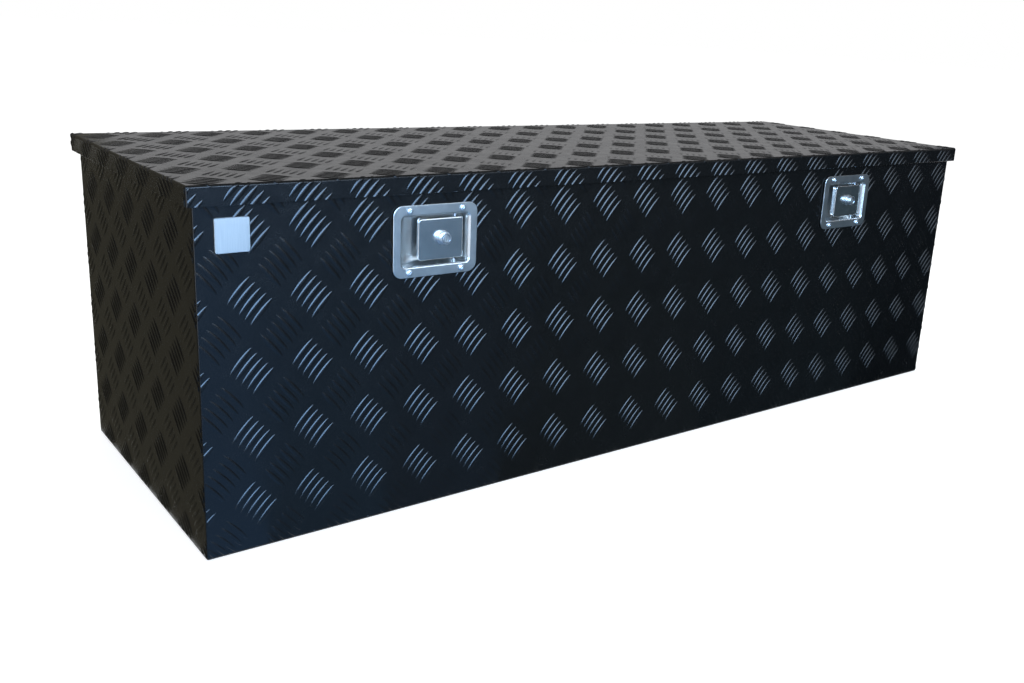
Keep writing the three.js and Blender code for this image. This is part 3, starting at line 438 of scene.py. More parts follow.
class Bars:
    """Collects the bars of one sheet in the sheet's own flat coordinates u, v and height."""

    def __init__(self):
        self.points = []
        self.faces = []

    def add(self, points, faces):
        start = sum(len(p) for p in self.points)
        self.points.append(points)
        self.faces += [[start + index for index in face] for face in faces]

    def add_clipped(self, points, faces, planes):
        """Adds what is left of a bar on the kept side of each plane (axis, place, kept side)."""
        bm = surface(points, faces)
        for axis, place, side in planes:
            across = Vector(np.eye(3)[axis])
            geometry = bm.verts[:] + bm.edges[:] + bm.faces[:]
            bmesh.ops.bisect_plane(bm, geom=geometry, plane_co=place * across, plane_no=-side * across,
                                   clear_outer=True, dist=1e-7)
            rim = [edge for edge in bm.edges if edge.is_boundary]
            if rim:
                bmesh.ops.holes_fill(bm, edges=rim, sides=0)
        bm.verts.index_update()
        if len(bm.faces) > 3:
            left = np.array([v.co for v in bm.verts])
            self.add(left, [[v.index for v in face.verts] for face in bm.faces])
        bm.free()

    def place(self, centre, lean, limits, rotated=False, fine=False, holes=()):
        """Adds a bar, clipped to the limits and round the holes. lean is 1 for a bar that rises with u."""
        template, faces = FINE_BAR if fine else COARSE_BAR
        angle = BAR_ANGLE if lean > 0 else math.pi - BAR_ANGLE
        if rotated:
            angle = RIGHT_ANGLE - angle
        along, across, height = template.T
        u = centre[0] + along * math.cos(angle) - across * math.sin(angle)
        v = centre[1] + along * math.sin(angle) + across * math.cos(angle)
        points = np.stack([u, v, height], 1)
        low, high = points.min(0), points.max(0)
        planes = []
        for axis, (bottom, top) in enumerate(zip(*limits)):
            if high[axis] < bottom or low[axis] > top:
                return
            if low[axis] < bottom:
                planes.append((axis, bottom, 1))
            if high[axis] > top:
                planes.append((axis, top, -1))
        for (a0, b0), (a1, b1) in holes:
            if high[0] > a0 and low[0] < a1 and high[1] > b0 and low[1] < b1:
                between = [(0, a0, 1), (0, a1, -1)]
                for region in ([(0, a0, -1)], [(0, a1, 1)], [*between, (1, b0, -1)], [*between, (1, b1, 1)]):
                    self.add_clipped(points, faces, planes + region)
                return
        if planes:
            self.add_clipped(points, faces, planes)
        else:
            self.add(points, faces)

    def flat(self):
        """All the points, in rows of u, v and height."""
        return np.concatenate(self.points)

    def lay(self, name, body, places):
        """Makes the bars a piece with its points at these places."""
        piece(f"{name}_tread_bars", surface(places, self.faces), COAT, body, sharp_degrees=50,
              weighted=False)


def bar_spots(first, limits, rotated=False):
    """The centre and the lean of every bar of a sheet. first is the centre of a group that rises with u."""
    pitch = (LONG_SPACING, SHORT_SPACING) if rotated else (SHORT_SPACING, LONG_SPACING)
    for lean, shift in ((1, 0), (-1, 0.5)):
        start = [a + shift * b for a, b in zip(first, pitch)]
        columns, rows = (
            range(math.ceil((low - BAR_LENGTH - a) / b), math.floor((high + BAR_LENGTH - a) / b) + 1)
            for low, high, a, b in zip(*limits, start, pitch))
        for i, j, k in itertools.product(columns, rows, range(BARS_IN_GROUP)):
            place = k - (BARS_IN_GROUP - 1) / 2
            across, up = place * BAR_STEP[0] * lean, place * BAR_STEP[1]
            if rotated:
                across, up = up, across
            yield (start[0] + i * pitch[0] + across, start[1] + j * pitch[1] + up), lean


def make_body_bars():
    """The bars of the four walls. u runs to the right of someone who looks at the wall, and v runs up."""
    edge = 1.2 * mm
    long_half, short_half = HALF_LENGTH - edge, HALF_DEPTH - SHEET - SEAT - edge
    walls = (
        ("front", (0, -1), (0, FRONT), long_half, (-HALF_LENGTH + 61 * mm, 312.5 * mm), LATCH_HOLES),
        ("back", (0, 1), (0, BACK), long_half, (-HALF_LENGTH + 30 * mm, 290 * mm), ()),
        ("left_end", (-1, 0), (-HALF_LENGTH, 0), short_half, (-140 * mm, 346 * mm), ()),
        ("right_end", (1, 0), (HALF_LENGTH, 0), short_half, (140 * mm, 346 * mm), ()),
    )
    for name, (out_x, out_y), middle, half, first, holes in walls:
        limits = ((-half, FOLD_OUTER), (half, RIM_TOP - FOLD_OUTER))
        rotated = out_x != 0
        bars = Bars()
        for spot, lean in bar_spots(first, limits, rotated):
            bars.place(spot, lean, limits, rotated, holes=holes)
        axes = np.array([(-out_y, out_x, 0), (0, 0, 1), (out_x, out_y, 0)])
        bars.lay(name, "chest", np.array([*middle, 0]) + bars.flat() @ axes)


def fold_over(points, axis):
    """Lays points of the flat lid sheet over its folds across one axis."""
    flat_end = LID_HIGH[axis] - FOLD_OUTER
    distance, height = points[:, axis], points[:, 2]
    past = np.abs(distance) - flat_end
    angle = np.clip(past / FOLD_OUTER, 0, RIGHT_ANGLE)
    down = np.maximum(past - RIGHT_ANGLE * FOLD_OUTER, 0)
    across = np.where(past < 0, np.abs(distance), flat_end + (FOLD_OUTER + height) * np.sin(angle))
    up = np.where(past < 0, height, (FOLD_OUTER + height) * np.cos(angle) - FOLD_OUTER - down)
    laid = points.copy()
    laid[:, axis] = np.sign(distance) * across
    laid[:, 2] = LID_TOP + up
    return laid


def make_lid_bars():
    """The pattern runs over the folds on to the skirts, and stops short of the corners' welds."""
    corner, hem = in_mm(2, 0.4)
    drop = RIGHT_ANGLE * FOLD_OUTER + (LID_TOP - SKIRT_BOTTOM - FOLD_OUTER) - hem
    reach_u, reach_v = LID_HALF_X - FOLD_OUTER + drop, LID_HALF_Y - FOLD_OUTER + drop
    limits = ((-reach_u, -reach_v), (reach_u, reach_v))
    long_limits = ((-LID_HALF_X + corner, -reach_v), (LID_HALF_X - corner, reach_v))
    end_limits = ((-reach_u, -LID_HALF_Y + corner), (reach_u, LID_HALF_Y - corner))
    near = BAR_LENGTH / 2 + FOLD_OUTER
    sheets = {"front": Bars(), "back": Bars(), "end": Bars()}
    for spot, lean in bar_spots((-HALF_LENGTH + 58 * mm, 162.25 * mm), limits):
        past_u, past_v = abs(spot[0]) - LID_HALF_X, abs(spot[1]) - LID_HALF_Y
        part, kept = "front" if spot[1] < 0 else "back", long_limits
        if past_u > past_v and past_u > -near:
            part, kept = "end", end_limits
        sheets[part].place(spot, lean, kept, fine=max(past_u, past_v) > -near)
    for part, bars in sheets.items():
        axis = 0 if part == "end" else 1
        bars.lay(f"lid_{part}", "lid", fold_over(bars.flat(), axis))


# Sheets

def folded_ring(corners, x, inset):
    """The outline of a bent sheet across X. Every bend turns to the left of the outer face's run."""
    steps = 6
    points = [Vector(corner) for corner in corners]
    runs = [(second - first).normalized() for first, second in zip(points, points[1:])]
    normals = [Vector((-run.y, run.x)) for run in runs]
    outer = [points[0] + inset * normals[0]]
    inner = [points[0] + SHEET * normals[0]]
    for corner, before, after in zip(points[1:], normals, normals[1:]):
        centre = corner + FOLD_OUTER * (before + after)
        for step in range(steps + 1):
            angle = RIGHT_ANGLE * step / steps
            spoke = -before * math.cos(angle) - after * math.sin(angle)
            outer.append(centre + (FOLD_OUTER - inset) * spoke)
            inner.append(centre + FOLD_INNER * spoke)
    outer.append(points[-1] + inset * normals[-1])
    inner.append(points[-1] + SHEET * normals[-1])
    return [Vector((x, p.x, p.y)) for p in outer + inner[::-1]]


def make_body_wrap():
    """One bent sheet: the front, the floor, the back and the rim's hems, with holes for the latches."""
    rim_inner, hem = HALF_DEPTH - RIM_WIDTH, RIM_TOP - RIM_HEM
    corners = [(-rim_inner, hem), (-rim_inner, RIM_TOP), (FRONT, RIM_TOP), (FRONT, 0),
               (BACK, 0), (BACK, RIM_TOP), (rim_inner, RIM_TOP), (rim_inner, hem)]
    edge_radius = 1.4 * mm
    loops = []
    for end, turn in ((-1, quarter_turn(4)), (1, reversed(quarter_turn(4)))):
        for along, across in turn:
            x = end * (HALF_LENGTH - across * edge_radius)
            loops.append(folded_ring(corners, x, edge_radius * (1 - along)))
    holes = bmesh.new()
    for (x0, z0), (x1, z1) in LATCH_HOLES:
        block((x0, FRONT - SHEET, z0), (x1, FRONT + 2 * SHEET, z1), bm=holes)
    piece("body_sheet", cut(bridge(loops), holes), COAT, "chest", ["body_wrap"])


def lid_ring(inset, radius, z):
    """A ring round the lid, an inset inside its outline."""
    x, y = LID_HALF_X - inset, LID_HALF_Y - inset
    return [Vector((a, b, z)) for a, b in rounded_rectangle((-x, -y), (x, y), radius, 5)]


def make_lid_sheet():
    """A tray with folded edges, a welded corner at each end of its skirts and a softly rounded hem."""
    corner, hem = in_mm(2.2, 0.5)
    loops = []
    for along, across in quarter_turn(6):
        inset = SHEET + FOLD_INNER * (1 - along)
        loops.append(lid_ring(inset, corner - SHEET * 0.8, LID_UNDERSIDE - FOLD_INNER * across))
    for inset, up in ((SHEET, hem), (SHEET - hem, 0), (hem, 0), (0, hem)):
        loops.append(lid_ring(inset, corner - 0.8 * inset, SKIRT_BOTTOM + up))
    for along, across in reversed(quarter_turn(8)):
        inset = FOLD_OUTER * (1 - along)
        loops.append(lid_ring(inset, corner - 0.6 * inset, LID_TOP - FOLD_OUTER * across))
    piece("lid_sheet", bridge(loops), COAT, "lid", ["lid_panel"])


def make_corner_welds():
    """Beads along the four upright seams inside, where the walls meet the end panels."""
    leg, sunk = in_mm(2.5, 0.15)
    low, high = SHEET + SEAT + FOLD_INNER, RIM_TOP - RIM_HEM - 2 * SEAT
    x, y = HALF_LENGTH - SHEET + sunk, HALF_DEPTH - SHEET + sunk
    corners = [(x, y), (x - leg, y), (x - leg * 0.45, y - leg * 0.45), (x, y - leg)]
    bm = bmesh.new()
    for end, wall_side in itertools.product((-1, 1), repeat=2):
        bridge([[Vector((end * a, wall_side * b, z)) for a, b in corners] for z in (low, high)], bm=bm)
    piece("corner_welds", bm, COAT, "chest", sharp_degrees=60)


def make_sheets():
    make_body_wrap()
    make_lid_sheet()
    make_corner_welds()
    for side in SIDES:
        rounded_copy(f"{side}_end_panel", COAT, 0.5 * mm)
    for i in range(1, 5):
        rounded_copy(f"lid_rib_{i}", COAT, 0.35 * mm)


# Latches. Each is drawn about the middle of its flange on the front face,
# with x to the right, y into the chest and z up.

FACE_CORNER = 13 * mm
LATCH = sizes(
    plate_half=(61, 46), plate_front=-3.2, plate_back=-1.6, edge_roll=0.8, dish_half=(48.5, 32),
    dish_depth=19, dish_wall=1.2, mouth_roll=2.6, mouth_corner=5.5, floor_corner=6, floor_roll=3,
    scoop_sweep=2.5, right_slope=2.4)
PADDLE = sizes(
    left=-24, right=42.5, half_height=27.5, face=1, depth=10, wall=1.8, left_bend=1.6, left_undercut=3.5,
    right_bend=2, upper_bend=2.4, left_corner=6.5, right_corner=3.5, pin=(32.5, 6.5), pin_radius=1.8,
    arm_half=2.5, arm_thick=3, arm_end=33, hub_radius=4.2, hub_half=3)
LOCK = sizes(x=12, z=1, front=-8.5, rear_end=13, barrel=8, ring=9.5, rear=7, bore=5.3, plug=4.9, nut=10,
             nut_bore=7.3)
COIL = sizes(wire=0.5, radius=2.9, rise=1.6, start=6, leg=9)
COIL_TURNS = 5.5
PIN_AXIS = move((*PADDLE.pin, 0))
LOCK_AXIS = move((LOCK.x, 0, LOCK.z)) @ ALONG_Y


def latch_place(side):
    return move((LATCH_X[side], FRONT, LATCH_Z))


def upright_ring(low, high, radius, y, left_radius=None):
    """A rounded rectangle that faces the front."""
    return [Vector((x, y, z)) for x, z in rounded_rectangle(low, high, radius, left_radius=left_radius)]


def middle_ring(half, grow, radius, y):
    """An upright ring about the latch's middle, larger than half by grow on every side."""
    x, z = half[0] + grow, half[1] + grow
    return upright_ring((-x, -z), (x, z), radius, y)


def scoop(share, offset):
    """A point (x, y) down the dish's left side, from its mouth to its floor."""
    half = LATCH.dish_half[0]
    start = (-half, LATCH.plate_front + LATCH.mouth_roll)
    control = (LATCH.scoop_sweep - half, LATCH.dish_depth)
    end = (PADDLE.left, LATCH.dish_depth)
    weights = ((1 - share) ** 2, 2 * share * (1 - share), share ** 2)
    x, y = (sum(w * p[i] for w, p in zip(weights, (start, control, end))) for i in (0, 1))
    return x - offset * (1 - share), y + offset * share


def dish_ring(share, offset):
    """The dish's outline at a depth, inside (offset 0) or outside (offset the wall)."""
    left, y = scoop(share, offset)
    half_x, half_z = LATCH.dish_half
    corner, roll = LATCH.floor_corner, LATCH.floor_roll
    down = y - offset * share
    past_x = max(0, down - (LATCH.dish_depth - corner))
    past_z = max(0, down - (LATCH.dish_depth - roll))
    right = half_x + offset - (corner - math.sqrt(corner ** 2 - past_x ** 2))
    right -= min(max(0, down - LATCH.plate_front - LATCH.mouth_roll), LATCH.right_slope)
    up = half_z + offset - (roll - math.sqrt(max(0, roll ** 2 - past_z ** 2)))
    return upright_ring((left, -up), (right, up), LATCH.mouth_corner + offset - 2 * mm * share, y)


def make_tray(side):
    """The flange and the deep dish in one drawn sheet, with holes for the paddle's pin and arm."""
    inner_x, inner_z = LATCH.dish_half
    front, back, wall = LATCH.plate_front, LATCH.plate_back, LATCH.dish_wall
    roll, edge, trim, spread = LATCH.mouth_roll, LATCH.edge_roll, 0.3 * mm, 1.6 * wall
    steps = 14
    shares = [math.sin(RIGHT_ANGLE * i / steps) for i in range(steps, -1, -1)]
    loops = [dish_ring(share, 0) for share in shares]
    for along, across in quarter_turn(6)[1:]:
        grow = roll * across
        y = front + roll * (1 - along)
        low, high = (-inner_x - grow, -inner_z - grow), (inner_x + front + roll - y, inner_z + grow)
        loops.append(upright_ring(low, high, LATCH.mouth_corner + grow, y))
    for along, across in quarter_turn(5):
        shrink = edge * (1 - along)
        loops.append(middle_ring(LATCH.plate_half, -shrink, FACE_CORNER - shrink, front + edge * across))
    loops.append(middle_ring(LATCH.plate_half, -trim, FACE_CORNER - trim, back))
    loops.append(middle_ring(LATCH.dish_half, spread, LATCH.mouth_corner + wall, back))
    loops += [dish_ring(share, wall) for share in reversed(shares)]
    pin_half = LATCH.plate_half[1]
    cutter = lathe(closed_profile(PADDLE.pin_radius + SEAT, -pin_half, pin_half), PIN_AXIS)
    slot_left, slot_right, slot_front, slot_back, slot_room = in_mm(11.8, 3.2, 2, 3, 0.7)
    pin_x, floor, slot_half = PADDLE.pin[0], LATCH.dish_depth, PADDLE.arm_thick / 2 + slot_room
    block((pin_x - slot_left, floor - slot_front, -slot_half),
          (pin_x + slot_right, floor + slot_back, slot_half), bm=cutter)
    stand_in(f"{side}_latch_tray", cut(bridge(loops), cutter), TRAY_STEEL, place=latch_place(side))


def make_gasket(side):
    inset, soft = in_mm(1, 0.2)
    outer = [half - inset for half in LATCH.plate_half]
    opening = [half + LATCH.dish_wall + 2 * SEAT for half in LATCH.dish_half]
    front, back = LATCH.plate_back + SEAT, -SEAT
    rows = ((outer, 0, FACE_CORNER, front + soft), (outer, -soft, FACE_CORNER, front),
            (opening, 0, LATCH.mouth_corner, front), (opening, 0, LATCH.mouth_corner, back),
            (outer, 0, FACE_CORNER, back))
    bm = bridge([middle_ring(*row) for row in rows], capped=False)
    stand_in(f"{side}_latch_gasket", bm, RUBBER, place=latch_place(side))


def rivet_profile(shank_end):
    """A blind rivet along +Z, its head below zero: dome, dimple of the broken mandrel, shank and tail."""
    head, height, dimple, dimple_depth, lip = in_mm(4.5, 2.2, 1.15, 0.9, 0.25)
    shank, tail, tail_length, soft = in_mm(2.4, 3.6, 2.5, 0.6)
    profile = [(0, -height + dimple_depth), (dimple * 0.85, -height + dimple_depth), (dimple, -height + lip),
               (dimple + lip, -height)]
    steps = 8
    start = math.asin((dimple + lip) / head)
    for step in range(1, steps):
        angle = start + (RIGHT_ANGLE - start) * step / steps
        profile.append((head * math.sin(angle), -height * math.cos(angle) ** 0.8 - lip * (1 - step / steps)))
    end = shank_end + tail_length
    return profile + [(head, -lip), (head - 0.2 * mm, 0), (shank, 0), (shank, shank_end),
                      (tail, shank_end + 0.3 * mm), (tail, end - soft), (tail - soft, end), (0, end)]


def make_tray_rivets(side):
    head_face = LATCH.plate_front - SEAT
    for i in range(1, 5):
        node = f"{side}_latch_rivet_{i}"
        low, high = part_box(node)
        place = move(((low.x + high.x) / 2, FRONT + head_face, (low.z + high.z) / 2)) @ ALONG_Y
        turned(node, rivet_profile(SHEET + SEAT - head_face), place, 28, RIVET)


def paddle_ring(inset_share, y, offset=0.0):
    """The paddle's outline. inset_share is 1 on the flat face's edge and 0 on the side walls."""
    undercut = PADDLE.left_undercut * (y - PADDLE.face) / PADDLE.depth
    left = PADDLE.left + PADDLE.left_bend * inset_share + undercut + offset
    right = PADDLE.right - PADDLE.right_bend * inset_share - offset
    up = PADDLE.half_height - PADDLE.upper_bend * inset_share - offset
    left_radius = max(PADDLE.left_corner * (1 - 0.55 * inset_share) - offset, 0.6 * mm)
    right_radius = max(PADDLE.right_corner * (1 - 0.5 * inset_share) - offset, 0.5 * mm)
    return upright_ring((left, -up), (right, up), right_radius, y, left_radius)


def make_paddle(side):
    """A drawn cup with a hole for the lock, and an arm and a hub behind it."""
    face, wall, bend, edge = PADDLE.face, PADDLE.wall, PADDLE.upper_bend, 0.3 * mm
    back = face + PADDLE.depth
    loops = [paddle_ring(1 - along, face + bend * across) for along, across in quarter_turn(7)]
    loops += [paddle_ring(0, back - edge), paddle_ring(0, back, edge)]
    loops += [paddle_ring(0, back, wall - edge), paddle_ring(0, back - edge, wall)]
    for along, across in reversed(quarter_turn(5)):
        loops.append(paddle_ring((1 - along) * 0.8, face + wall + (bend - wall) * across, wall))
    past = 2 * mm
    hole = lathe(closed_profile(LOCK.rear + SEAT, face - past, face + wall + past), LOCK_AXIS, 40)
    bm = cut(bridge(loops), hole)
    pin_x, half, thick, soft = PADDLE.pin[0], PADDLE.arm_half, PADDLE.arm_thick / 2, 0.4 * mm
    block((pin_x - half, face + wall / 2, -thick), (pin_x + half, PADDLE.arm_end, thick), soft, bm)
    lathe(closed_profile(PADDLE.hub_radius, -PADDLE.hub_half, PADDLE.hub_half, soft), PIN_AXIS, 28, bm)
    stand_in(f"{side}_paddle", bm, STEEL, place=latch_place(side))


def make_paddle_pin(side):
    node = f"{side}_paddle_pin"
    low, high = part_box(node)
    half = (high.z - low.z) / 2
    place = move((low + high) / 2)
    turned(node, closed_profile(PADDLE.pin_radius, -half, half, 0.4 * mm), place, 24, ZINC)


def wire(points, radius):
    """A round wire along a line of points, with a steady frame and flat ends."""
    last = len(points) - 1
    tangents = [(points[min(i + 1, last)] - points[max(i - 1, 0)]).normalized() for i in range(last + 1)]
    normal = tangents[0].orthogonal().normalized()
    loops = []
    for point, tangent in zip(points, tangents):
        normal = (normal - tangent * normal.dot(tangent)).normalized()
        side = tangent.cross(normal)
        loops.append([point + radius * (a * normal + b * side) for a, b in circle(10)])
    return bridge(loops)


def make_paddle_spring(side):
    """The return spring, wound round the paddle's pin with both legs towards the scoop."""
    steps = 24
    radius, turns = COIL.radius, []
    for i in range(round(COIL_TURNS * steps) + 1):
        angle = 2 * math.pi * i / steps - RIGHT_ANGLE
        turns.append(Vector((radius * math.cos(angle), radius * math.sin(angle), COIL.rise * i / steps)))
    leg = Vector((COIL.leg, 0, 0))
    points = [turns[0] - leg, turns[0] - leg / 2, *turns, turns[-1] - leg / 2, turns[-1] - leg]
    place = latch_place(side) @ move((*PADDLE.pin, COIL.start))
    stand_in(f"{side}_paddle_spring", wire(points, COIL.wire), ZINC, 50, place)


def make_lock_housing(side):
    """The barrel with its wide ring on the paddle's face, and the rear that passes through."""
    front, barrel, ring, rear = LOCK.front, LOCK.barrel, LOCK.ring, LOCK.rear
    lip, barrel_roll, ring_roll, groove, soft = in_mm(0.5, 0.9, 0.6, 0.3, 0.4)
    ring_back = PADDLE.face - SEAT
    ring_front = ring_back - 2 * mm
    profile = [(LOCK.bore, front + lip), (LOCK.bore + lip, front)]
    profile += [(barrel - barrel_roll * (1 - along), front + barrel_roll * across)
                for along, across in quarter_turn(5)]
    profile += [(barrel, ring_front - groove), (barrel + groove, ring_front)]
    profile += [(ring - ring_roll * (1 - along), ring_front + ring_roll * across)
                for along, across in quarter_turn(4)]
    end = LOCK.rear_end
    profile += [(ring, ring_back), (rear, ring_back), (rear, end - soft), (rear - soft, end),
                (LOCK.bore, end)]
    turned(f"{side}_lock_housing", profile, latch_place(side) @ LOCK_AXIS, 48, LOCK_CHROME)


def make_key_plug(side):
    """The plug with its keyway, and the stub behind it that carries the cam."""
    plug, front, end, stub, soft = LOCK.plug, LOCK.front + SEAT, LOCK.rear_end + SEAT, 3 * mm, 0.3 * mm
    cam_back = end + SEAT + 2 * mm
    profile = [(0, front), (plug - soft, front), (plug, front + soft), (plug, end), (stub, end),
               (stub, cam_back + soft), (stub - soft, cam_back + 2 * soft), (0, cam_back + 2 * soft)]
    bm = lathe(profile, segments=40)
    keyway = (((-0.9 * mm, -3.25 * mm), (0.9 * mm, 3.25 * mm)), ((-1.5 * mm, -1 * mm), (0.3 * mm, 0.6 * mm)))
    for low, high in keyway:
        bm = cut(bm, block((*low, front - 2 * mm), (*high, front + 3 * mm)))
    stand_in(f"{side}_key_plug", bm, PLUG_FACE, 40, latch_place(side) @ LOCK_AXIS)


def make_lock_nut(side):
    """A hexagon nut whose corners are chamfered by a cone."""
    corners, bore, chamfer, sides = LOCK.nut, LOCK.nut_bore, 0.7 * mm, 48
    half_side = math.pi / 6
    flat = corners * math.cos(half_side)
    start = PADDLE.face + PADDLE.wall + SEAT
    end = start + 4 * mm
    place = latch_place(side) @ LOCK_AXIS
    loops = []
    for z, limit in ((start, bore), (start, flat), (start + chamfer, corners), (end - chamfer, corners),
                     (end, flat), (end, bore)):
        loop = []
        for i in range(sides):
            angle = 2 * math.pi * i / sides
            away = (angle + half_side) % (2 * half_side) - half_side
            radius = min(flat / math.cos(half_side - abs(away)), limit)
            loop.append(place @ Vector((radius * math.cos(angle), radius * math.sin(angle), z)))
        loops.append(loop)
    stand_in(f"{side}_lock_nut", bridge(loops, capped=False), ZINC, 25)


def make_latches():
    makers = (make_tray, make_gasket, make_tray_rivets, make_paddle, make_paddle_pin, make_paddle_spring,
              make_lock_housing, make_key_plug, make_lock_nut)
    for side in SIDES:
        for make in makers:
            make(side)
        for node in ("bolt", "bolt_guide", "lock_cam", "striker"):
            rounded_copy(f"{side}_{node}", ZINC, 0.35 * mm)


def make_badge():
    """A bare brushed plate with a fine bevel."""
    low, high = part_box("badge_plate")
    corner, bevel = in_mm(2.5, 0.35)
    loops = []
    for inset, y in ((bevel, low.y), (0, low.y + bevel), (0, high.y)):
        loops.append(upright_ring((low.x + inset, low.z + inset), (high.x - inset, high.z - inset),
                                  corner - inset, y))
    stand_in("badge_plate", bridge(loops), PLATE)


# Hinge

HINGE = sizes(radius=3.2, bore=1.7, knuckle=50, leaf=1.5, rivet_spacing=200)
KNUCKLES = 28
LEAF_RIVETS = 7
HINGE_PLACE = Vector(joint_list["lid_hinge"]["pos_m"])
HINGE_AXIS = move((0, HINGE_PLACE.y, HINGE_PLACE.z)) @ ALONG_X
HINGE_RIVETS = [(i - (LEAF_RIVETS - 1) / 2) * HINGE.rivet_spacing for i in range(LEAF_RIVETS)]


def hinge_leaf(first, leaf_y, plate_z, tab_z):
    """A leaf with every second knuckle, each rolled from its own tab."""
    half = HINGE.knuckle * KNUCKLES / 2
    radius, bore, soft = HINGE.radius, HINGE.bore, 0.3 * mm
    bm = block((-half, leaf_y[0], plate_z[0]), (half, leaf_y[1], plate_z[1]), 0.25 * mm)
    for i in range(first, KNUCKLES, 2):
        start = -half + i * HINGE.knuckle + SEAT / 2
        end = start + HINGE.knuckle - SEAT
        profile = [(bore, start), (radius - soft, start), (radius, start + soft), (radius, end - soft),
                   (radius - soft, end), (bore, end)]
        lathe(profile, HINGE_AXIS, 20, bm)
        block((start, leaf_y[0], tab_z[0]), (end, leaf_y[1], tab_z[1]), bm=bm)
    return bm


def make_body_leaf():
    """The leaf on the chest's back, with the heads of its rivets outside."""
    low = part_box("hinge_body_leaf")[0]
    face, top = BACK + SEAT, HINGE_PLACE.z - HINGE.radius - SEAT
    outside = face + HINGE.leaf
    bm = hinge_leaf(0, (face, outside), (low.z, top), (top - HINGE.leaf, HINGE_PLACE.z))
    rivet_z = HINGE_PLACE.z - 17.5 * mm
    turn = Matrix.Rotation(RIGHT_ANGLE, 4, "X")
    for x in HINGE_RIVETS:
        place = move((x, outside, rivet_z)) @ turn
        lathe(rivet_profile(outside - (BACK - SHEET) + SEAT), place, 24, bm)
    stand_in("hinge_body_leaf", bm, COAT, 40)


def make_lid_leaf():
    """The leaf inside the lid's skirt. Its rivets end flush with the skirt's outer face."""
    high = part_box("hinge_lid_leaf")[1]
    face, bottom = LID_HALF_Y - SHEET - SEAT, HINGE_PLACE.z + HINGE.radius + SEAT
    inside = face - HINGE.leaf
    bm = hinge_leaf(1, (inside, face), (bottom, high.z), (HINGE_PLACE.z, bottom + HINGE.leaf))
    rivet_z = LID_UNDERSIDE - 11 * mm
    shank, shank_soft, tail, tail_soft = in_mm(2.4, 0.3, 3.6, 0.35)
    start, end = inside - 1.25 * mm, LID_HALF_Y
    profile = [(0, start), (tail - tail_soft, start), (tail, start + tail_soft), (tail, inside),
               (shank, inside), (shank, end - 0.1 * mm), (shank - shank_soft, end), (0, end)]
    for x in HINGE_RIVETS:
        lathe(profile, move((x, 0, rivet_z)) @ ALONG_Y, 24, bm)
    stand_in("hinge_lid_leaf", bm, COAT, 40)


def make_hinge_pin():
    low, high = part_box("hinge_pin")
    turned("hinge_pin", closed_profile(1.3 * mm, low.x, high.x, 0.3 * mm), HINGE_AXIS, 20, ZINC)


def make_rim_seal():
    """A bulb seal round the rim: a flat foot with two lips, and a bulb above it."""
    low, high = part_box("rim_seal")
    width, foot, corner, lip, soft = in_mm(10, 2.6, 16, 0.4, 0.6)
    height = high.z - low.z
    section = [(0.3 * mm, 0), (0, lip), (0, foot - soft), (0.5 * mm, foot)]
    bulb_radius = (height - foot) / 2 + 0.9 * mm
    bulb_start, bulb_turn, bulb_squeeze, steps = 215, 250, 0.93, 12
    for step in range(steps + 1):
        angle = math.radians(bulb_start - bulb_turn * step / steps)
        section.append((width / 2 + bulb_radius * math.cos(angle) * bulb_squeeze,
                        height - bulb_radius + bulb_radius * math.sin(angle)))
    section += [(width - 0.5 * mm, foot), (width, foot - soft), (width, lip), (width - 0.3 * mm, 0)]
    loops = []
    for inset, up in section:
        points = rounded_rectangle((low.x + inset, low.y + inset), (high.x - inset, high.y - inset),
                                   corner - inset, 8)
        loops.append([Vector((x, y, low.z + up)) for x, y in points])
    stand_in("rim_seal", bridge(loops, capped=False), RUBBER, 50)


# Gas struts

STRUT_TOP = HINGE_PLACE.yz + Vector((-180.5 * mm, 1.5 * mm))
BRACKET_THICK = 2.5 * mm
TUBE_START = 22.3 * mm
TUBE_LENGTH = 106.02 * mm


def strut_ball(side):
    return Vector(joint_list[f"{side}_strut_swing"]["pos_m"])


def strut_frame(side):
    """A matrix at the ball on the body whose Z runs along the strut."""
    direction = Vector(joint_list[f"{side}_strut_stroke"]["axis"]).normalized()
    across = Vector((1, 0, 0))
    turn = Matrix((across, direction.cross(across), direction)).transposed().to_4x4()
    return move(strut_ball(side)) @ turn


def make_socket(node, place, open_side, shank_turn):
    """A moulded ball cup with its shank along the strut. Its mouth faces open_side in X."""
    cup, thin, thick, hollow, soft, lip = in_mm(8.5, 5, 8, 5.6, 0.7, 0.4)
    profile = [(0, -hollow), (hollow * 0.6, -hollow * 0.8), (hollow, -0.5 * mm), (hollow, thin - 2 * lip),
               (hollow + lip, thin), (cup - soft, thin), (cup, thin - soft), (cup, soft - thick),
               (cup - soft, -thick), (cup * 0.5, -thick), (0, -thick)]
    bm = lathe(profile, place @ Matrix.Rotation(open_side * RIGHT_ANGLE, 4, "Y"), 36)
    shank, neck, slope_start, slope_end, end, step, rim = in_mm(6.5, 7, 10, 11, 22, 0.8, 0.6)
    profile = [(0, neck), (shank - step, neck), (shank - step, slope_start), (shank, slope_end),
               (shank, end - rim), (shank - rim, end), (0, end)]
    lathe(profile, place @ Matrix.Rotation(shank_turn, 4, "X"), 30, bm)
    stand_in(node, bm, PLASTIC, 40)


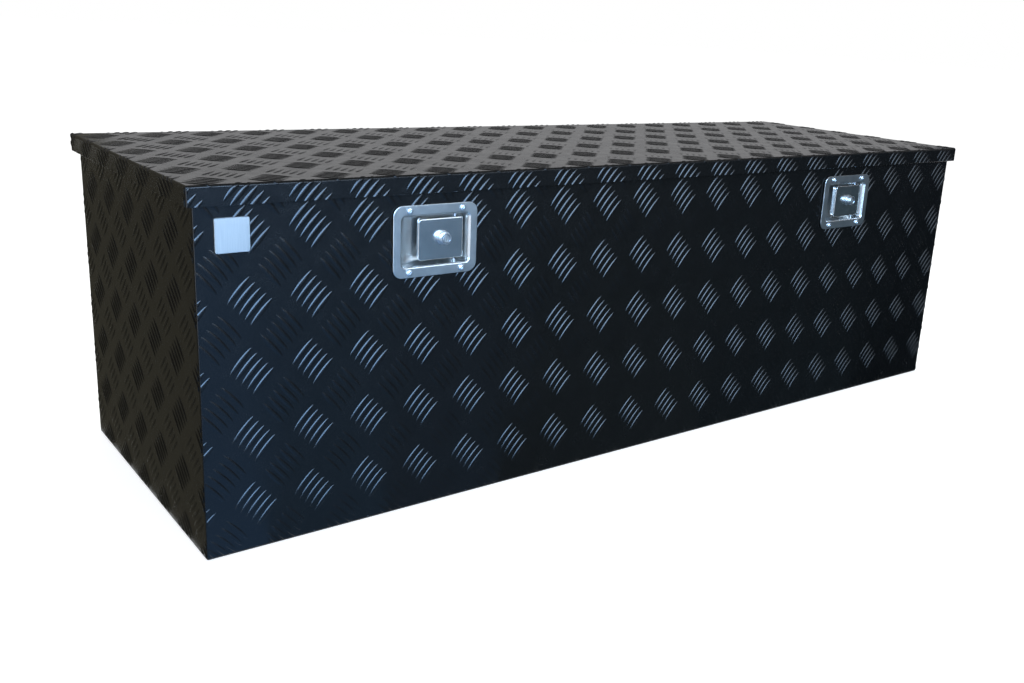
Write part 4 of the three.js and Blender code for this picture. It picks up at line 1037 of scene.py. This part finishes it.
def make_strut(side, sign):
    """The two sockets, the tube with the gland's rolled groove near its end, and the rod with its piston."""
    place = strut_frame(side)
    closed = (STRUT_TOP - place.translation.yz).length
    make_socket(f"{side}_strut_lower_socket", place, sign, 0)
    make_socket(f"{side}_strut_upper_socket", place @ move((0, 0, closed)), -sign, math.pi)

    start, end = TUBE_START, TUBE_START + TUBE_LENGTH
    tube, bore, rod_bore, gland, wall = in_mm(9, 7.6, 4.6, 8, 4)
    foot_roll, end_roll, dent, soft = in_mm(1.6, 2, 0.6, 0.4)
    gland_end, groove = end - gland, end - gland - 1.5 * mm
    profile = [(0, start), (tube - foot_roll, start)]
    profile += [(tube - foot_roll * (1 - along), start + foot_roll * across)
                for along, across in quarter_turn(4)]
    profile += [(tube, groove - 1.2 * mm), (tube - dent, groove - soft), (tube - dent, groove + soft),
                (tube, groove + 1.2 * mm)]
    profile += [(tube - end_roll * across, end - end_roll * (1 - along))
                for along, across in quarter_turn(4)]
    profile += [(rod_bore, end), (rod_bore, gland_end), (bore - 0.6 * mm, gland_end),
                (bore, gland_end - soft), (bore, start + wall), (0, start + wall)]
    turned(f"{side}_strut_tube", profile, place, 40, PAINT)

    opened = Matrix.Rotation(-joint_list["lid_hinge"]["range_deg"][1] * math.pi / 180, 2)
    opened_top = HINGE_PLACE.yz + opened @ (STRUT_TOP - HINGE_PLACE.yz)
    stroke = (opened_top - place.translation.yz).length - closed
    rod, piston, piston_length, rim = in_mm(4, 7, 8, 0.5)
    inner = gland_end - 2 * mm - piston_length - stroke
    rod_end = closed - start
    profile = [(0, inner), (piston - rim, inner), (piston, inner + rim), (piston, inner + piston_length),
               (rod, inner + piston_length), (rod, rod_end), (0, rod_end)]
    turned(f"{side}_strut_rod", profile, place, 32, ROD_CHROME)


def make_body_bracket(side, sign):
    """A plate on the end wall with a standoff and a ball stud."""
    node = f"{side}_strut_body_bracket"
    low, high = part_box(node)
    anchor = strut_ball(side)
    wall = HALF_LENGTH - SHEET - SEAT - abs(anchor.x)
    plate = wall - BRACKET_THICK / 2
    ball, neck, standoff, standoff_start, soft, steps = 5 * mm, 3 * mm, 6 * mm, 7.5 * mm, 0.5 * mm, 12
    profile = [(0, -ball)]
    for step in range(1, steps + 1):
        angle = -RIGHT_ANGLE + (RIGHT_ANGLE + math.acos(neck / ball)) * step / steps
        profile.append((ball * math.cos(angle), ball * math.sin(angle)))
    profile += [(neck, standoff_start), (standoff - soft, standoff_start), (standoff, standoff_start + soft),
                (standoff, plate), (0, plate)]
    bm = lathe(profile, move(anchor) @ Matrix.Rotation(sign * RIGHT_ANGLE, 4, "Y"))
    loops = []
    for grow, along in ((-soft, wall - BRACKET_THICK), (0, wall - BRACKET_THICK + soft), (0, wall)):
        outline = rounded_rectangle((low.y - grow, low.z - grow), (high.y + grow, high.z + grow), 5 * mm)
        loops.append([Vector((anchor.x + sign * along, y, z)) for y, z in outline])
    stand_in(node, bridge(loops, bm=bm), ZINC, 40)


def make_lid_bracket(side, sign):
    """A bent plate under the lid with a stud for the strut's upper socket."""
    node = f"{side}_strut_lid_bracket"
    low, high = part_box(node)
    top = LID_UNDERSIDE - SEAT
    strut_x = abs(strut_ball(side).x)
    leg_outer = strut_x - 18 * mm
    leg_inner = leg_outer - BRACKET_THICK
    leg_half, flange, soft, rim = in_mm(10, 30, 0.5, 0.4)
    bm = block((leg_inner, STRUT_TOP.x - leg_half, low.z), (leg_outer, STRUT_TOP.x + leg_half, top), soft)
    block((leg_inner, low.y, top - BRACKET_THICK), (leg_inner + flange, high.y, top), soft, bm)
    stud, stud_end, collar = 3 * mm, strut_x - 5 * mm - SEAT, 5.5 * mm
    place = move((0, *STRUT_TOP)) @ ALONG_X
    lathe(closed_profile(stud, leg_inner + soft, stud_end, rim), place, 24, bm)
    lathe(closed_profile(collar, leg_outer - soft, leg_outer + 2 * mm, rim), place, 24, bm)
    stand_in(node, bm, ZINC, 40, Matrix.Diagonal((sign, 1, 1, 1)))


def make_struts():
    for side, sign in SIDES.items():
        make_body_bracket(side, sign)
        make_lid_bracket(side, sign)
        make_strut(side, sign)


# Floor, lights and camera

FRAME_WIDTH = 1024
CAMERA_PLACE = (-1.0755, -1.3453, 0.6366)
WINDOW_Y = -3.05
# The floor's cards of painted reflection start here, 2.5 mm outside the chest's walls.
FRONT_FOOT, LEFT_FOOT = -0.2375, -0.7185


def stage_face(name, corners, material):
    """One flat face that belongs to the studio."""
    made = object_of(name, surface(corners, [range(len(corners))]), material)
    return made


def seen_directly(tree):
    """1 for what the camera sees, in a mirror or through glass too, and 0 for soft light."""
    path = add_node(tree, "LightPath", {}).outputs
    seen = path["Is Camera Ray"]
    for kind in ("Is Glossy Ray", "Is Transmission Ray"):
        seen = add_node(tree, "Math", {0: seen, 1: path[kind]}, "MAXIMUM").outputs[0]
    return seen


def make_floor():
    """A pale matt floor. Its glow is seen, in mirrors too, and adds no soft light."""
    material = bpy.data.materials.new("pale_floor")
    material.use_nodes = True
    tree = material.node_tree
    brightness = 0.64
    glow = add_node(tree, "Math", {0: seen_directly(tree), 1: brightness}, "MULTIPLY")
    set_inputs(tree, tree.nodes["Principled BSDF"], {
        "Base Color": (0.85, 0.85, 0.85, 1), "Roughness": 0.9, "Specular IOR Level": 0.0,
        "Emission Color": (1, 1, 1, 1), "Emission Strength": glow.outputs[0]})
    reach, drop = 30, 0.1 * mm
    corners = [(-reach, -reach, 0), (reach, -reach, 0), (reach, reach, 0), (-reach, reach, 0)]
    stage_face("floor", corners, material).location.z = -drop


def make_world():
    """Soft grey light all round. What looks at the world sees it white."""
    world = bpy.data.worlds.new("studio")
    scene.world = world
    world.use_nodes = True
    tree = world.node_tree
    strength = add_node(tree, "MapRange", {"Value": seen_directly(tree), "To Min": 0.45, "To Max": 1.0})
    set_inputs(tree, tree.nodes["Background"],
               {"Color": (1, 1, 1, 1), "Strength": strength.outputs["Result"]})


def soft_light(name, place, size, power, color):
    """A lamp that gives soft light. Shiny surfaces show the panels of painted reflection below, not the
    lamp.
    """
    target = Vector((0, 0, 0.25))
    data = bpy.data.lights.new(name, "AREA")
    data.shape = "RECTANGLE"
    data.size, data.size_y = size
    data.energy = power
    data.color = color
    made = bpy.data.objects.new(name, data)
    made.location = place
    made.rotation_mode = "QUATERNION"
    made.rotation_quaternion = (target - Vector(place)).to_track_quat("-Z", "Y")
    made.visible_glossy = False
    scene.collection.objects.link(made)


def painted_reflection(name, corners, color, strength=1.0):
    """A glowing panel that only shiny surfaces see: a painted reflection, which gives no soft light and
    casts no shadow.
    """
    material = bpy.data.materials.new(name)
    material.use_nodes = True
    tree = material.node_tree
    tree.nodes.clear()
    # The panel's colour and strength are painted reflection, seen only by shiny surfaces.
    glow = add_node(tree, "Emission", {"Color": (*color, 1), "Strength": strength})
    add_node(tree, "OutputMaterial", {"Surface": glow.outputs["Emission"]})
    made = stage_face(name, corners, material)
    for ray in ("camera", "diffuse", "transmission", "shadow"):
        setattr(made, f"visible_{ray}", False)


def wall(start, end, low, high):
    return [(*start, low), (*end, low), (*end, high), (*start, high)]


def on_floor(*points):
    return [(x, y, 0.1 * mm) for x, y in points]


def make_window_reflection():
    """Painted reflections of a wide cool window in front, brightest on its left: glowing panels that only
    shiny surfaces see, which paint the glints on the bars.
    """
    # Colour and strength of each panel of painted reflection; together they make the glints on the bars.
    for name, start, end, bottom, color, strength in (
            ("left", -3.7, -0.9, 0.6, (0.44, 0.78, 1.32), 11),
            ("middle", -0.9, 0.5, 0.6, (0.54, 0.78, 1.12), 11),
            ("right", 0.5, 1.5, 0.8, (0.75, 0.9, 1.08), 3.2),
            ("far_right", 1.5, 2.6, 0.8, (0.75, 0.88, 1.05), 2)):
        painted_reflection(f"window_{name}", wall((start, WINDOW_Y), (end, WINDOW_Y), bottom, 2.8), color, strength)


def make_blue_floor_reflection():
    """Painted reflection on the front: glowing strips on the floor in front, from blue to dark, laid from
    the camera's place along lines of sight that the front mirrors.
    """
    camera_x, camera_behind, far_y = CAMERA_PLACE[0], 0.8753, -4.4
    spread = (camera_behind - far_y) / (camera_behind - FRONT_FOOT)
    # Colours of the painted reflection, blue where the front's left mirrors them and dark towards its right.
    shades = [(-1, (0.17, 0.37, 0.72)), (-0.64, (0.12, 0.24, 0.41)), (-0.48, (0.1, 0.17, 0.27)),
              (-0.3, (0.07, 0.1, 0.12)), (0.1, (0.04, 0.065, 0.085)),
              (0.5, (0.01, 0.018, 0.026)), (2.5, None)]
    for i, ((near, color), (far, _)) in enumerate(zip(shades, shades[1:])):
        ends = [(camera_x + (x - camera_x) * spread, far_y) for x in (far, near)]
        painted_reflection(f"floor_{i + 1}", on_floor((near, FRONT_FOOT), (far, FRONT_FOOT), *ends), color)


def make_room_reflection():
    """Painted reflections of a room, which only shiny surfaces see: dark walls, a brown floor and wall on
    the left, a grey wall behind, a ceiling, and a grey panel over the lid's front that paints a sheen on the
    lid's top.
    """
    # Dark walls of painted reflection round the window, which keep the flat sheet and the bars' other flanks
    # dark.
    for name, start, end, top, color in (
            ("front", (-6.5, -4.6), (7.5, -4.6), 3.5, (0.03, 0.035, 0.05)),
            ("right", (4.2, -5.0), (4.2, 2.0), 2.6, (0.05, 0.06, 0.08)),
            ("left", (-3.9, WINDOW_Y), (-3.9, 3.8), 2.7, (0.06, 0.057, 0.05))):
        painted_reflection(f"{name}_wall", wall(start, end, 0, top), color)
    # A brown floor and wall of painted reflection, which paint the left end's brown-grey tone.
    brown_floor = on_floor((-3.8, -0.75), (-1, -0.75), (-1, FRONT_FOOT), (LEFT_FOOT, FRONT_FOOT),
                           (LEFT_FOOT, 3.7), (-3.8, 3.7))
    painted_reflection("brown_floor", brown_floor, (0.1, 0.094, 0.07))
    painted_reflection("brown_wall", wall((-3.9, 3.8), (0.2, 3.8), 0, 2.7), (0.125, 0.118, 0.09))
    # A grey wall behind with a dark wall above it: painted reflection that sets the grey sheen of the lid's
    # top.
    for name, low, high, color in (("grey_wall", 0, 1, (0.45, 0.45, 0.46)),
                                   ("grey_wall_upper", 1, 1.8, (0.56, 0.56, 0.57)),
                                   ("grey_wall_top", 1.8, 2.7, (0.38, 0.38, 0.39))):
        painted_reflection(name, wall((0.2, 4.5), (6.0, 1.5), low, high), color)
    painted_reflection("dark_wall_above", wall((0.2, 4.6), (6.2, 1.6), 2.7, 4.5), (0.05, 0.05, 0.05))
    # A dim ceiling of painted reflection, seen on faces that look up.
    ceiling = [(-4.5, -4.6, 4.5), (6.5, -4.6, 4.5), (6.5, 4.6, 4.5), (-4.5, 4.6, 4.5)]
    painted_reflection("ceiling", ceiling, (0.14, 0.14, 0.14))
    # A grey panel of painted reflection over the lid's front: in views from behind it paints a grey sheen on
    # the lid's top in place of the window.
    sheen_half, sheen_y, sheen_bottom, sheen_top = 1.7, -0.2555, 0.4518, 1.6
    sheen_panel = wall((-sheen_half, sheen_y), (sheen_half, sheen_y), sheen_bottom, sheen_top)
    painted_reflection("lid_sheen_reflection", sheen_panel, (0.2, 0.2, 0.2))


def make_lights():
    soft_light("front_lamp", place=(-0.4, -3.1, 1.4), size=(3.2, 1.2), power=75, color=(0.65, 0.83, 1.0))
    soft_light("overhead_lamp", place=(0.2, 0.4, 3.2), size=(3.5, 2.5), power=45, color=(1.0, 1.0, 1.0))
    make_window_reflection()
    make_blue_floor_reflection()
    make_room_reflection()


def make_camera():
    """The photograph's view, fitted to the chest's corners."""
    focal_pixels = 1029.3
    centre_shift = (60.9, -26.3)
    turns = (74.228, -3.151, -37.948)
    data = bpy.data.cameras.new("camera")
    data.sensor_width = 36
    data.lens = data.sensor_width * focal_pixels / FRAME_WIDTH
    data.shift_x = -centre_shift[0] / FRAME_WIDTH
    data.shift_y = centre_shift[1] / FRAME_WIDTH
    made = bpy.data.objects.new("camera", data)
    made.location = CAMERA_PLACE
    made.rotation_euler = [math.radians(turn) for turn in turns]
    scene.collection.objects.link(made)
    scene.camera = made


make_body_bars()
make_lid_bars()
make_sheets()
make_latches()
make_badge()
make_body_leaf()
make_lid_leaf()
make_hinge_pin()
make_rim_seal()
make_struts()
make_floor()
make_world()
make_lights()
make_camera()

scene.view_settings.view_transform = "Standard"
